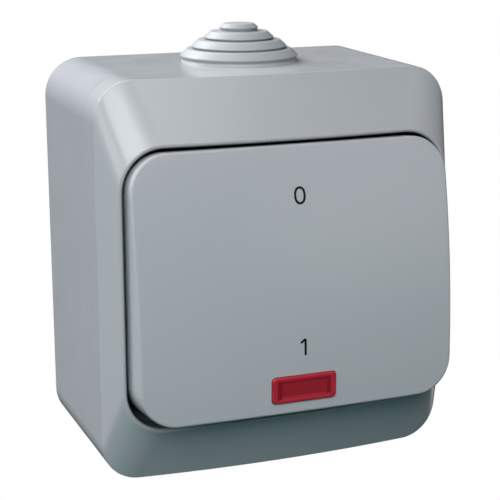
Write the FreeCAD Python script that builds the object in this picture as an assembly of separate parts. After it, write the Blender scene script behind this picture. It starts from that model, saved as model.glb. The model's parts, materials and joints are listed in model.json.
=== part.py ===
import FreeCAD, Part
import math
import os
from FreeCAD import Vector

# Surface-mounted outdoor rocker switch, double pole, with a pilot lens and one cable gland.
# Millimetres. The wall plane is y = 0, the front faces -Y, up is +Z, and the origin is the
# middle of the back face. A "depth" is a distance from the wall plane towards the front.

# Contact chambers and mechanism, from the inside outwards
pole_pitch = 17.0
chamber_width = 10.0
chamber_end_wall = 5.0
chamber_floor = 7.4
mechanism_side = 6.5
mechanism_height = 44.0
mechanism_depth = 22.5
wiring_space = 6.3
frame_overhang = 1.0
frame_thickness = 1.2
frame_window_height = 24.0
frame_window_side = 0.5
frame_corner = 1.5
frame_ear_x = 16.0
frame_ear_radius = 4.0
frame_clear = 1.1
frame_head_clear = 0.5
cover_inset_x = 1.0
cover_inset_z = 2.0
cover_corner = 2.0
cover_plate = 1.8
pivot_height = 4.1

# Box, cover and seals
wall = 2.2
draft = 0.24
corner_radius = 7.8
boss_radius = 3.75
boss_gap = 2.25
boss_rib = 1.2
boss_rib_drop = 4.0
boss_rib_reach = 3.0
frame_boss_radius = 3.5
lug_reach = 6.2
lug_thickness = 2.0
side_frame = 3.8
seal_thickness = 0.8
seal_hole_clear = 0.3
seal_side_clear = 0.15
screw_head_clear = 0.4
gasket_height = 1.0
lip_height = 2.0
lip_clear = 0.1
seam_bevel = 0.14
cover_side = 7.55
bevel_rise = 6.75
break_bow_top = 1.89
break_bow_bottom = 1.54
rim_crown = 1.06
rim_roll = 0.6
opening_radius = 8.0
throat_wall = 1.8
pocket_half_width = 26.5
pocket_rib = 1.2
slot_spacing_x = 52.0
slot_spacing_z = 58.0
slot_width = 4.4
slot_length = 8.0
slot_collar = 1.6
slot_collar_height = 1.4

# Rocker
rocker_height = 52.4
rocker_gap = 0.5
rocker_end_gap = 0.45
rocker_radius = 7.4
rocker_wall = 1.8
rocker_front = 2.2
rocker_edge_reach = 10.75
rocker_skirt_back = 2.1
rocker_bulge = 1.9
rocker_cross_crown = 1.06
rocker_edge_fillet = 0.5
rocker_tilt = 6.43
rib_thickness = 1.2
cross_rib_z = 8.0
cross_rib_lift = 1.5
clip_x = 7.0
clip_width = 4.0
clip_thickness = 1.2
clip_nib = 0.7

# Pilot lens and lamp
lens_width = 13.5
lens_height = 5.4
lens_radius = 0.9
lens_rim = 1.15
lens_recess = 0.8
lens_slope = 0.6
lens_proud = 0.35
lens_body = 4.2
lens_clear = 0.05
lens_edge = 5.0
lamp_radius = 2.1
lamp_length = 11.0
lamp_edge = 2.5
lamp_height = 3.0
lamp_saddle_x = 3.0
lamp_saddle_thickness = 1.2
lamp_saddle_height = 5.0
lead_radius = 0.3
lead_bend = 0.8
lead_end = 0.5
resistor_radius = 1.1
resistor_length = 5.0
resistor_gap = 1.2

# See-saw carrier, plungers and springs
carrier_half_width = 12.2
carrier_half_height = 14.0
carrier_plate = 2.0
carrier_plate_reach = 4.4
hub_half_height = 3.0
hub_back = 2.5
ear_thickness = 2.6
ear_radius = 4.5
ear_side_clear = 0.25
trunnion_radius = 1.95
running_clear = 0.05
tube_radius = 2.6
tube_reach = 12.1
tube_wall = 0.95
tube_head = 2.4
tube_slot_clear = 0.35
plunger_length = 12.0
plunger_clear = 0.2
spring_wire = 0.44
spring_side_clear = 0.2
spring_end_clear = 0.15
spring_turns = 4

# Contacts
bridge_tilt = 7.0
bridge_vee = 10.0
bridge_arm = 12.5
bridge_width = 5.0
bridge_sheet = 1.0
bridge_pin_radius = 0.6
tip_radius = 1.5
tip_thickness = 0.8
tip_place = 11.0
contact_clear = 0.1
strip_width = 4.6
strip_sheet = 0.8
strip_leg_gap = 0.7
strip_leg_reach = 1.7
prong_gap = 0.55
prong_half_width = 1.5
prong_rise = 1.3
bridge_axis_rise = 1.6
fixed_strip_back = 2.5

# Terminals, rivets and screws
clamp_width = 7.2
clamp_height = 5.3
clamp_depth = 5.4
clamp_wall = 1.1
clamp_end = 1.4
clamp_back = 0.8
clamp_clear = 0.2
terminal_screw_radius = 1.7
terminal_head_radius = 2.4
terminal_head = 1.4
rivet_side = 3.0
rivet_end = 6.0
rivet_radius = 1.5
rivet_head_radius = 2.4
rivet_head = 0.8
screw_radius = 1.45
screw_head_radius = 2.7
screw_head = 1.9
screw_length = 11.0
hole_clear = 0.05
drive_slot = 0.8
earth_x = -14.0
earth_wall_gap = 6.8
earth_head_radius = 2.1
earth_head = 1.3
earth_head_clear = 0.2
earth_width = 10.0
earth_height = 6.0
earth_depth = 6.0
earth_post = 3.0
earth_wire_radius = 1.6

# Cable gland
gland_depth = 17.3
gland_neck_radius = 9.6
gland_hole_clear = 0.1
gland_flange_radius = 11.6
gland_flange = 1.8
gland_wall = 1.2
gland_undercut = 0.4
ring_radii = [12.2, 9.9, 7.2, 4.0]
ring_rims = [1.25, 3.1, 4.9, 6.85]
ring_tops = [2.6, 4.4, 6.1, 7.65]
ring_lean = 1.1
ring_foot = 0.4
ring_lift = 0.1
knockout_radius = 10.0
knockout_groove = 0.7

# Depths and widths that follow
mechanism_back = wall + wiring_space
frame_back = mechanism_back + mechanism_depth
frame_front = frame_back + frame_thickness
plate_front = frame_front + cover_plate
pivot_depth = plate_front + pivot_height
throat_back = frame_front + seal_thickness
seam_depth = frame_front - lug_thickness
break_depth = seam_depth + cover_side
rim_depth = break_depth + bevel_rise
floor_depth = mechanism_back + chamber_floor
strip_front = floor_depth + strip_sheet
bridge_axis = strip_front + bridge_axis_rise
mechanism_width = pole_pitch + chamber_width + 2 * mechanism_side
mechanism_half_z = mechanism_height / 2
chamber_half_z = mechanism_half_z - chamber_end_wall
clamp_z = mechanism_half_z - clamp_end - clamp_height
strip_leg_z = clamp_z + strip_leg_gap
strip_leg_back = mechanism_back + strip_leg_reach
rivet_x = mechanism_width / 2 - rivet_side
rivet_z = mechanism_half_z - rivet_end
cover_half_x = mechanism_width / 2 - cover_inset_x
cover_half_z = mechanism_half_z - cover_inset_z
lamp_z = -cover_half_z + lamp_edge
frame_width = mechanism_width + 2 * frame_overhang
cover_screw_x = frame_width / 2 + boss_gap + boss_radius
opening_half_x = cover_screw_x + lug_reach
rocker_half_x = opening_half_x - rocker_gap
rocker_half_z = rocker_height / 2
body_half_x = opening_half_x + side_frame
tilt = math.radians(rocker_tilt)
opening_half_z = rocker_half_z * math.cos(tilt) + rocker_edge_reach * math.sin(tilt) + rocker_end_gap
frame_ear_z = opening_half_z + throat_wall + screw_head_radius + frame_head_clear
body_half_z = frame_ear_z + frame_ear_radius + frame_clear + wall + draft
earth_z = -(body_half_z - draft - wall - earth_wall_gap)
rocker_edge_depth = pivot_depth + rocker_edge_reach
rocker_front_depth = rocker_edge_depth + rocker_bulge + rocker_cross_crown
lens_z = -rocker_half_z + lens_edge
pole_places = [("left", -pole_pitch / 2), ("right", pole_pitch / 2)]

X = Vector(1, 0, 0)
Y = Vector(0, 1, 0)
Z = Vector(0, 0, 1)


def block(x0, x1, depth0, depth1, z0, z1):
    # Box between two depths.
    return Part.makeBox(x1 - x0, depth1 - depth0, z1 - z0, Vector(x0, -depth1, z0))


def rod_x(x0, x1, depth, z, radius):
    return Part.makeCylinder(radius, x1 - x0, Vector(x0, -depth, z), X)


def rod_y(x, z, depth0, depth1, radius):
    return Part.makeCylinder(radius, depth1 - depth0, Vector(x, -depth1, z), Y)


def rod_z(x, depth, z0, z1, radius):
    return Part.makeCylinder(radius, z1 - z0, Vector(x, -depth, z0), Z)


def outline(half_x, half_z, radius, depth, bow_top=0.0, bow_bottom=0.0):
    # Rounded rectangle at one depth. Its top and bottom edges may bow forwards in the middle.
    ix = half_x - radius
    iz = half_z - radius
    k = radius * math.sqrt(0.5)

    def at(x, z, extra=0.0):
        return Vector(x, -depth - extra, z)

    def level_edge(x0, x1, z, bow):
        if bow == 0.0:
            return Part.makeLine(at(x0, z), at(x1, z))
        return Part.Arc(at(x0, z), at(0, z, bow), at(x1, z)).toShape()

    def corner(start, sx, sz, end):
        return Part.Arc(at(*start), at(sx * (ix + k), sz * (iz + k)), at(*end)).toShape()

    edges = [
        Part.makeLine(at(half_x, -iz), at(half_x, iz)),
        corner((half_x, iz), 1, 1, (ix, half_z)),
        level_edge(ix, -ix, half_z, bow_top),
        corner((-ix, half_z), -1, 1, (-half_x, iz)),
        Part.makeLine(at(-half_x, iz), at(-half_x, -iz)),
        corner((-half_x, -iz), -1, -1, (-ix, -half_z)),
        level_edge(-ix, ix, -half_z, bow_bottom),
        corner((ix, -half_z), 1, -1, (half_x, -iz)),
    ]
    return Part.Wire(edges)


def prism(half_x, half_z, radius, depth0, depth1):
    face = Part.Face(outline(half_x, half_z, radius, depth0))
    return face.extrude(Vector(0, depth0 - depth1, 0))


def body_outline(inset, depth, bow_top=0.0, bow_bottom=0.0):
    # Outline of the drafted body, or of its wall's inside when inset by the wall.
    taper = draft * depth / break_depth
    half_x = body_half_x - taper - inset
    half_z = body_half_z - taper - inset
    return outline(half_x, half_z, corner_radius - inset, depth, bow_top, bow_bottom)


def body_tunnel(inset, depth0, depth1):
    return Part.makeLoft([body_outline(inset, depth0), body_outline(inset, depth1)], True, True)


def skin(loops):
    # Closed ring-shaped solid whose faces join each outline to the next, and the last to the first.
    faces = []
    for first, second in zip(loops, loops[1:] + loops[:1]):
        faces += Part.makeRuledSurface(first, second).Faces
    shell = Part.makeShell(faces)
    shell.sewShape()
    solid = Part.makeSolid(shell)
    if solid.Volume < 0:
        solid.reverse()
    return solid


def fuse(shapes):
    return shapes[0].multiFuse(shapes[1:]).removeSplitter()


def tilted(shape):
    # From the rocker's level position to rest, with its upper end pressed in.
    shape.rotate(Vector(0, -pivot_depth, 0), X, -rocker_tilt)
    return shape


def hexagon(centre, across, first, second):
    # Six-sided wire about a centre, in the plane of two unit vectors.
    points = []
    for step in range(7):
        turn = math.radians(60 * step)
        points.append(centre + first * (across * math.cos(turn)) + second * (across * math.sin(turn)))
    return Part.makePolygon(points)


def pan_screw(x, z, head_base, length, radius, head_radius, head):
    # Screw along the depth, with its head in front of head_base and a slot across it.
    shank = rod_y(x, z, head_base - length, head_base, radius)
    cap = rod_y(x, z, head_base, head_base + head, head_radius)
    cap = cap.makeChamfer(head * 0.35, front_edges(cap, head_base + head))
    top = head_base + head
    low_z = z - drive_slot / 2
    slot = block(x - head_radius, x + head_radius, top - head / 2, top + 1, low_z, low_z + drive_slot)
    return fuse([cap, shank]).cut(slot)


def front_edges(shape, depth):
    # Edges that lie wholly at one depth.
    found = []
    for edge in shape.Edges:
        box = edge.BoundBox
        if abs(box.YMin + depth) < 1e-6 and abs(box.YMax + depth) < 1e-6:
            found.append(edge)
    return found


def slotted_hole(x, z, depth0, depth1, width, height):
    # Slot with round ends, as wide and as high as asked.
    half = min(width, height) / 2
    reach_x = width / 2 - half
    reach_z = height / 2 - half
    across = reach_x if reach_x > 0 else half
    along = reach_z if reach_z > 0 else half
    middle = block(x - across, x + across, depth0, depth1, z - along, z + along)
    ends = [rod_y(x + side * reach_x, z + side * reach_z, depth0, depth1, half) for side in (-1, 1)]
    return fuse([middle] + ends)


def make_back_box():
    shell = Part.makeLoft(
        [
            body_outline(0, 0),
            body_outline(0, seam_depth - seam_bevel),
            body_outline(seam_bevel, seam_depth),
        ],
        True,
        True,
    )
    shell = shell.cut(body_tunnel(wall, wall, seam_depth + 1))
    rebate = body_tunnel(wall / 2, seam_depth - lip_height - gasket_height, seam_depth + 1)
    shell = shell.cut(rebate)
    solids = [shell]
    for side in (-1, 1):
        solids.append(rod_y(side * cover_screw_x, 0, wall / 2, seam_depth, boss_radius))
        rib_front = seam_depth - boss_rib_drop
        rib_end = boss_radius + boss_rib_reach
        rib = block(-boss_rib / 2, boss_rib / 2, wall / 2, rib_front, 0, rib_end)
        rib.translate(Vector(side * cover_screw_x, 0, 0))
        solids.append(rib)
        solids.append(rod_y(-side * frame_ear_x, side * frame_ear_z, wall / 2, frame_back, frame_boss_radius))
    for x, z in slot_places():
        collar = slotted_hole(
            x, z, wall / 2, wall + slot_collar_height,
            slot_length + 2 * slot_collar, slot_width + 2 * slot_collar,
        )
        solids.append(collar)
    solids.append(
        block(
            earth_x - earth_width / 2, earth_x + earth_width / 2, wall / 2, wall + earth_post,
            earth_z - earth_height / 2, earth_z + earth_height / 2,
        )
    )
    box = fuse(solids)
    bore = screw_radius + hole_clear
    for side in (-1, 1):
        x = side * cover_screw_x
        box = box.cut(rod_y(x, 0, seam_depth - screw_length, seam_depth + 1, bore))
        x = -side * frame_ear_x
        z = side * frame_ear_z
        box = box.cut(rod_y(x, z, frame_back - screw_length, frame_back + 1, bore))
    for x, z in slot_places():
        box = box.cut(slotted_hole(x, z, -1, wall + slot_collar_height + 1, slot_length, slot_width))
    entry = gland_neck_radius + gland_hole_clear
    box = box.cut(rod_z(0, gland_depth, body_half_z - 2 * wall, body_half_z + 1, entry))
    return box.cut(knockout_grooves())


def slot_places():
    places = []
    for sx in (-1, 1):
        for sz in (-1, 1):
            places.append((sx * slot_spacing_x / 2, sz * slot_spacing_z / 2))
    return places


def knockout_grooves():
    # Thinned ring inside the bottom wall, for a second cable entry.
    low = -body_half_z + draft * gland_depth / break_depth + wall - knockout_groove
    ring = rod_z(0, gland_depth, low, low + wall, knockout_radius)
    return ring.cut(rod_z(0, gland_depth, low, low + wall, knockout_radius - knockout_groove))


def ring_outline():
    # Half section of the rings from foot to top, as (radius, height over the wall). Each ring leans out
    # to a sharp rim and slopes back in to the flat that carries the next.
    foot = ring_radii[0] - gland_undercut
    points = [(foot, ring_lift), (foot, ring_foot)]
    for radius, rim, flat in zip(ring_radii, ring_rims, ring_tops):
        if radius < ring_radii[0]:
            points.append((radius - gland_undercut, points[-1][1]))
        points.append((radius, rim))
        points.append((radius - ring_lean * (flat - rim), flat))
    return points


def hollow_outline():
    # Half section of the stepped hollow under the rings, from the axis out to the neck.
    points = [(0, ring_tops[-1] - gland_wall)]
    for radius, flat in zip(reversed(ring_radii[1:]), reversed(ring_tops[:-1])):
        inner = radius - gland_undercut - gland_wall
        points.append((inner, points[-1][1]))
        points.append((inner, flat - gland_wall))
    points.append((gland_neck_radius - gland_wall, points[-1][1]))
    points.append((gland_neck_radius - gland_wall, -2 * wall))
    return points


def make_cable_gland():
    flange_top = 0.1 - wall
    neck = [
        (gland_neck_radius, -2 * wall),
        (gland_neck_radius, flange_top - gland_flange),
        (gland_flange_radius, flange_top - gland_flange),
        (gland_flange_radius, flange_top),
        (gland_neck_radius, flange_top),
        (gland_neck_radius, ring_lift),
    ]
    outline = neck + ring_outline() + [(0, ring_tops[-1])] + hollow_outline()
    top = body_half_z - draft * gland_depth / break_depth
    points = []
    for radius, height in outline + outline[:1]:
        points.append(Vector(radius, -gland_depth, top + height))
    gland = Part.Face(Part.makePolygon(points)).revolve(Vector(0, -gland_depth, 0), Z, 360)
    inner_wall = body_tunnel(0, 0, seam_depth).cut(body_tunnel(wall, wall, seam_depth + 1))
    hole = rod_z(0, gland_depth, 0, body_half_z + 1, gland_neck_radius + gland_hole_clear)
    return gland.cut(inner_wall.cut(hole))


def make_box_gasket():
    floor = seam_depth - lip_height - gasket_height
    ring = body_tunnel(wall / 2 + hole_clear, floor, floor + gasket_height)
    return ring.cut(body_tunnel(wall - 2 * lip_clear, floor - 1, floor + gasket_height + 1))


def rim_outline(offset, depth, crown):
    return outline(
        opening_half_x + offset, opening_half_z + offset, opening_radius + offset, depth, crown, crown
    )


def make_front_cover():
    loops = [
        body_outline(seam_bevel, seam_depth),
        body_outline(0, seam_depth + seam_bevel),
        body_outline(0, break_depth, break_bow_top, break_bow_bottom),
    ]
    # The rim rolls over from the bevel into the opening on a round of radius rim_roll.
    for degrees in (130, 110, 90, 68, 45, 22, 0):
        turn = math.radians(degrees)
        offset = rim_roll * (1 - math.cos(turn))
        depth = rim_depth - rim_roll * (1 - math.sin(turn))
        loops.append(rim_outline(offset, depth, rim_crown))
    loops.append(rim_outline(0, seam_depth, 0.0))
    cover = skin(loops)
    cover = cover.cut(body_tunnel(wall, seam_depth - 1, throat_back))
    for side in (-1, 1):
        cover = cover.cut(bevel_pocket(side))
    solids = [cover]
    lip = body_tunnel(wall / 2 + lip_clear, seam_depth - lip_height, seam_depth + 0.5)
    solids.append(lip.cut(body_tunnel(wall, seam_depth - lip_height - 1, seam_depth + 1)))
    for side in (-1, 1):
        inner = cover_screw_x - boss_radius
        outer = body_half_x - wall + 0.6
        lug = block(inner, outer, seam_depth, frame_front, -boss_radius - 0.7, boss_radius + 0.7)
        if side < 0:
            lug = lug.mirror(Vector(0, 0, 0), X)
        solids.append(lug)
        for x in (-pole_pitch / 2, pole_pitch / 2):
            rib = block(x - pocket_rib / 2, x + pocket_rib / 2, throat_back, rim_depth, 0, body_half_z)
            if side < 0:
                rib = rib.mirror(Vector(0, 0, 0), Z)
            solids.append(rib.common(bevel_pocket(side)))
    cover = fuse(solids)
    for side in (-1, 1):
        cover = cover.cut(rod_y(side * cover_screw_x, 0, seam_depth - 1, throat_back, screw_radius + 0.25))
    return cover


def bevel_pocket(side):
    # Hollow behind the upper (side 1) or lower (side -1) bevel, one wall under its surface.
    high = body_half_z - draft - wall
    low = opening_half_z + throat_wall
    bevel_low = opening_half_z + 2 * rim_roll
    slope = bevel_rise / (body_half_z - bevel_low)
    drop = wall * math.hypot(1, slope)
    depth_high = break_depth - drop + slope * wall
    depth_low = depth_high + slope * (high - low)
    corners = [(throat_back - 0.5, low), (throat_back - 0.5, high), (depth_high, high), (depth_low, low)]
    points = [Vector(-pocket_half_width, -depth, side * z) for depth, z in corners]
    face = Part.Face(Part.makePolygon(points + points[:1]))
    pocket = face.extrude(Vector(2 * pocket_half_width, 0, 0))
    return pocket


def make_cover_screws():
    screws = []
    for side in (-1, 1):
        x = side * cover_screw_x
        screw = pan_screw(x, 0, frame_front, screw_length, screw_radius, screw_head_radius, screw_head)
        screws.append(screw)
    return Part.makeCompound(screws)


def make_frame_screws():
    screws = []
    for side in (-1, 1):
        screws.append(
            pan_screw(
                -side * frame_ear_x, side * frame_ear_z, frame_front, screw_length - 1,
                screw_radius, screw_head_radius, screw_head,
            )
        )
    return Part.makeCompound(screws)


def make_rocker_seal():
    half_x = body_half_x - draft - wall - seal_side_clear
    half_z = opening_half_z + throat_wall - seal_side_clear
    sheet = prism(half_x, half_z, corner_radius - wall, frame_front, throat_back)
    hole_x = cover_half_x + seal_hole_clear
    hole_z = cover_half_z + seal_hole_clear
    sheet = sheet.cut(prism(hole_x, hole_z, cover_corner, frame_front - 1, throat_back + 1))
    for side in (-1, 1):
        hole = screw_head_radius + screw_head_clear
        sheet = sheet.cut(rod_y(side * cover_screw_x, 0, frame_front - 1, throat_back + 1, hole))
    return sheet


def make_support_frame():
    plate = prism(frame_width / 2, mechanism_half_z, frame_corner, frame_back, frame_front)
    solids = [plate]
    for side in (-1, 1):
        ear = block(
            -frame_ear_radius, frame_ear_radius, frame_back, frame_front,
            mechanism_half_z - frame_ear_radius, frame_ear_z,
        )
        ear = ear.fuse(rod_y(0, frame_ear_z, frame_back, frame_front, frame_ear_radius))
        ear.translate(Vector(-frame_ear_x, 0, 0))
        if side < 0:
            ear.rotate(Vector(0, 0, 0), Y, 180)
        solids.append(ear)
    frame = fuse(solids)
    window_x = pole_pitch / 2 + chamber_width / 2 + frame_window_side
    window_z = frame_window_height / 2
    frame = frame.cut(prism(window_x, window_z, frame_corner, frame_back - 1, frame_front + 1))
    for side in (-1, 1):
        frame = frame.cut(
            slotted_hole(
                -side * frame_ear_x, side * frame_ear_z, frame_back - 1, frame_front + 1,
                2 * screw_radius + 0.4, 2 * screw_radius + 1.2,
            )
        )
    return frame.cut(rivet_holes(frame_back - 1, frame_front + 1))


def rivet_places():
    return [(rivet_x, rivet_z), (-rivet_x, -rivet_z)]


def rivet_holes(depth0, depth1):
    holes = [rod_y(x, z, depth0, depth1, rivet_radius + hole_clear) for x, z in rivet_places()]
    return Part.makeCompound(holes)


def make_mechanism_rivets():
    rivets = []
    for x, z in rivet_places():
        shaft = rod_y(x, z, mechanism_back, plate_front, rivet_radius)
        front = rod_y(x, z, plate_front, plate_front + rivet_head, rivet_head_radius)
        back = rod_y(x, z, mechanism_back - rivet_head, mechanism_back, rivet_head_radius)
        rivets.append(fuse([shaft, front, back]))
    return Part.makeCompound(rivets)


def make_mechanism_housing():
    housing = prism(mechanism_width / 2, mechanism_half_z, frame_corner, mechanism_back, frame_back)
    for name, x in pole_places:
        chamber = block(
            x - chamber_width / 2, x + chamber_width / 2, floor_depth, frame_back + 1,
            -chamber_half_z, chamber_half_z,
        )
        housing = housing.cut(chamber)
        for side in (-1, 1):
            housing = housing.cut(terminal_pocket(x, side))
    return housing.cut(rivet_holes(mechanism_back - 1, frame_back + 1))


def terminal_pocket(x, side):
    # Room for one clamp, open to the back, with its screw channel and the slot for the strip's leg.
    half = clamp_width / 2 + clamp_clear
    depth_end = mechanism_back + clamp_back + clamp_depth + clamp_clear
    low_z = clamp_z - clamp_clear
    high_z = clamp_z + clamp_height + clamp_clear
    room = block(x - half, x + half, mechanism_back - 1, depth_end, low_z, high_z)
    leg = block(
        x - strip_width / 2 - 0.2, x + strip_width / 2 + 0.2, depth_end - 0.5, strip_front + 0.1,
        strip_leg_z - 0.1, strip_leg_z + strip_sheet + 0.1,
    )
    middle = mechanism_back + clamp_back + clamp_depth / 2
    channel = rod_z(x, middle, clamp_z + clamp_height, mechanism_half_z + 1, terminal_head_radius + 0.2)
    pocket = fuse([room, leg, channel])
    if side < 0:
        pocket = pocket.mirror(Vector(0, 0, 0), Z)
    return pocket


def make_terminal_clamps():
    clamps = []
    for name, x in pole_places:
        for side in (-1, 1):
            low = mechanism_back + clamp_back
            half = clamp_width / 2
            cage = block(x - half, x + half, low, low + clamp_depth, clamp_z, clamp_z + clamp_height)
            half = clamp_width / 2 - clamp_wall
            room = block(
                x - half, x + half, low - 1, low + clamp_depth + 1,
                strip_leg_z - hole_clear, clamp_z + clamp_height - clamp_wall,
            )
            bore = terminal_screw_radius + hole_clear
            screw_hole = rod_z(x, low + clamp_depth / 2, strip_leg_z, clamp_z + clamp_height + 1, bore)
            cage = cage.cut(room).cut(screw_hole)
            if side < 0:
                cage = cage.mirror(Vector(0, 0, 0), Z)
            clamps.append(cage)
    return Part.makeCompound(clamps)


def make_terminal_screws():
    screws = []
    for name, x in pole_places:
        for side in (-1, 1):
            depth = mechanism_back + clamp_back + clamp_depth / 2
            base = clamp_z + clamp_height + 0.3
            shank = rod_z(x, depth, strip_leg_z + strip_sheet + 0.8, base, terminal_screw_radius)
            head = rod_z(x, depth, base, base + terminal_head, terminal_head_radius)
            slot = block(
                x - terminal_head_radius, x + terminal_head_radius,
                depth - drive_slot / 2, depth + drive_slot / 2,
                base + terminal_head / 2, base + terminal_head + 1,
            )
            screw = shank.fuse(head).cut(slot)
            if side < 0:
                screw = screw.mirror(Vector(0, 0, 0), Z)
            screws.append(screw)
    return Part.makeCompound(screws)


def make_fixed_contact(x):
    # Strip on the chamber floor under the tip, bent back into the upper clamp.
    half = strip_width / 2
    start = tip_place - fixed_strip_back
    flat = block(x - half, x + half, floor_depth, strip_front, start, strip_leg_z + strip_sheet)
    leg = block(x - half, x + half, strip_leg_back, strip_front, strip_leg_z, strip_leg_z + strip_sheet)
    return fuse([flat, leg])


def make_pivot_contact(x):
    # Strip from the lower clamp to the two prongs that carry the bridge's pins.
    half = strip_width / 2
    flat = block(x - half, x + half, floor_depth, strip_front, -strip_leg_z - strip_sheet, prong_half_width)
    leg = block(x - half, x + half, strip_leg_back, strip_front, -strip_leg_z - strip_sheet, -strip_leg_z)
    solids = [flat, leg]
    inner = bridge_width / 2 + prong_gap
    outer = inner + strip_sheet
    foot = block(x - outer, x + outer, floor_depth, strip_front, -prong_half_width, prong_half_width)
    solids.append(foot)
    for side in (-1, 1):
        middle = x + side * (inner + outer) / 2
        solids.append(
            block(
                middle - strip_sheet / 2, middle + strip_sheet / 2, floor_depth, bridge_axis + prong_rise,
                -prong_half_width, prong_half_width,
            )
        )
    contact = fuse(solids)
    seat = bridge_pin_radius + running_clear
    contact = contact.cut(rod_x(x - outer - 1, x + outer + 1, bridge_axis, 0, seat))
    mouth = bridge_axis + prong_rise + 1
    return contact.cut(block(x - outer - 1, x + outer + 1, bridge_axis, mouth, -seat, seat))


def bridge_arm_box(x, half_width, low, high, back, front):
    # Block along the upper arm, given by distances along it and in front of its middle line.
    arm = block(x - half_width, x + half_width, bridge_axis + back, bridge_axis + front, low, high)
    arm.rotate(Vector(x, -bridge_axis, 0), X, bridge_vee)
    return arm


def make_contact_bridge(x):
    half = bridge_width / 2
    sheet = bridge_sheet / 2
    upper = bridge_arm_box(x, half, 0, bridge_arm, -sheet, sheet)
    lower = upper.mirror(Vector(0, 0, 0), Z)
    bend = rod_x(x - half, x + half, bridge_axis, 0, sheet)
    reach = half + prong_gap + strip_sheet + 0.1
    pins = rod_x(x - reach, x + reach, bridge_axis, 0, bridge_pin_radius)
    bridge = fuse([upper, lower, bend, pins])
    bridge.rotate(Vector(x, -bridge_axis, 0), X, bridge_tilt)
    return bridge


def make_moving_tip(x):
    base = bridge_axis - bridge_sheet / 2
    tip = rod_y(x, tip_place, base - tip_thickness, base, tip_radius)
    tip.rotate(Vector(x, -bridge_axis, 0), X, bridge_vee)
    tip.rotate(Vector(x, -bridge_axis, 0), X, bridge_tilt)
    return tip


def make_fixed_tips():
    # Their faces lie just behind the moving tips when the bridges are over at the "1" side.
    lean = math.radians(bridge_vee - bridge_tilt)
    back = (bridge_sheet / 2 + tip_thickness) * math.cos(lean)
    front = bridge_axis - back + (tip_place - tip_radius) * math.sin(lean) - contact_clear
    tips = [rod_y(x, tip_place, strip_front, front, tip_radius) for name, x in pole_places]
    return Part.makeCompound(tips)


def make_mechanism_cover():
    solids = [prism(cover_half_x, cover_half_z, cover_corner, frame_front, plate_front)]
    inner = carrier_half_width + ear_side_clear
    outer = inner + ear_thickness
    for side in (-1, 1):
        middle = side * (inner + outer) / 2
        solids.append(
            block(
                middle - ear_thickness / 2, middle + ear_thickness / 2, plate_front - 1, pivot_depth,
                -ear_radius, ear_radius,
            )
        )
        low_x = middle - ear_thickness / 2
        solids.append(rod_x(low_x, low_x + ear_thickness, pivot_depth, 0, ear_radius))
        saddle = block(
            -lamp_saddle_thickness / 2, lamp_saddle_thickness / 2, frame_front, plate_front + lamp_height,
            lamp_z - lamp_saddle_height / 2, lamp_z + lamp_saddle_height / 2,
        )
        saddle.translate(Vector(side * lamp_saddle_x, 0, 0))
        solids.append(saddle)
    cover = fuse(solids)
    cover = cover.cut(rod_x(-outer - 1, outer + 1, pivot_depth, 0, trunnion_radius + running_clear))
    lamp_depth = plate_front + lamp_height
    lamp_room = rod_x(-lamp_length / 2, lamp_length / 2, lamp_depth, lamp_z, lamp_radius + hole_clear)
    cover = cover.cut(lamp_room)
    swing = (pivot_depth - frame_front) * math.sin(tilt)
    for name, x in pole_places:
        slot = slotted_hole(
            x, 0, frame_front - 1, plate_front + 1,
            2 * (tube_radius + tube_slot_clear), 2 * (tube_radius + tube_slot_clear + swing),
        )
        cover = cover.cut(slot)
    for x in lead_places():
        cover = cover.cut(rod_y(x, lamp_z, frame_front - 1, plate_front + 1, lead_radius + 0.1))
    return cover.cut(rivet_holes(frame_front - 1, plate_front + 1))


def make_rocker_carrier():
    plate_back = pivot_depth + carrier_plate_reach
    half = carrier_half_width
    high = carrier_half_height
    solids = [block(-half, half, plate_back, plate_back + carrier_plate, -high, high)]
    solids.append(block(-half, half, pivot_depth - hub_back, plate_back, -hub_half_height, hub_half_height))
    reach = half + ear_side_clear + ear_thickness
    solids.append(rod_x(-reach, reach, pivot_depth, 0, trunnion_radius))
    for name, x in pole_places:
        solids.append(rod_y(x, 0, pivot_depth - tube_reach, pivot_depth, tube_radius))
        solids.append(
            block(
                x - rib_thickness / 2, x + rib_thickness / 2,
                pivot_depth + 2, plate_back, -high + 2, high - 2,
            )
        )
    carrier = fuse(solids)
    for name, x in pole_places:
        carrier = carrier.cut(
            rod_y(x, 0, pivot_depth - tube_reach - 1, pivot_depth + tube_head, tube_radius - tube_wall)
        )
    return tilted(carrier)


def plunger_ball_depth():
    # Level-position depth of the centre of the plunger's round tip, just clear of the bridge's vee.
    ball = tube_radius - tube_wall - running_clear
    lift = (ball + bridge_sheet / 2 + plunger_clear) / math.cos(math.radians(bridge_vee))
    return bridge_axis + lift


def make_plunger(x):
    radius = tube_radius - tube_wall - running_clear
    centre = plunger_ball_depth()
    shaft = rod_y(x, 0, centre, centre + plunger_length, radius)
    ball = Part.makeSphere(radius, Vector(x, -centre, 0))
    return tilted(fuse([shaft, ball]))


def make_plunger_spring(x):
    low = plunger_ball_depth() + plunger_length + spring_end_clear + spring_wire / 2
    high = pivot_depth + tube_head - spring_end_clear - spring_wire / 2
    mean = tube_radius - tube_wall - spring_side_clear - spring_wire / 2
    length = high - low
    helix = Part.makeHelix(length / spring_turns, length, mean)
    section = hexagon(Vector(mean, 0, 0), spring_wire / 2, X, Z)
    coil = Part.Wire(helix).makePipeShell([section], True, True)
    coil.rotate(Vector(0, 0, 0), X, 90)
    coil.translate(Vector(x, -low, 0))
    return tilted(coil)


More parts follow.
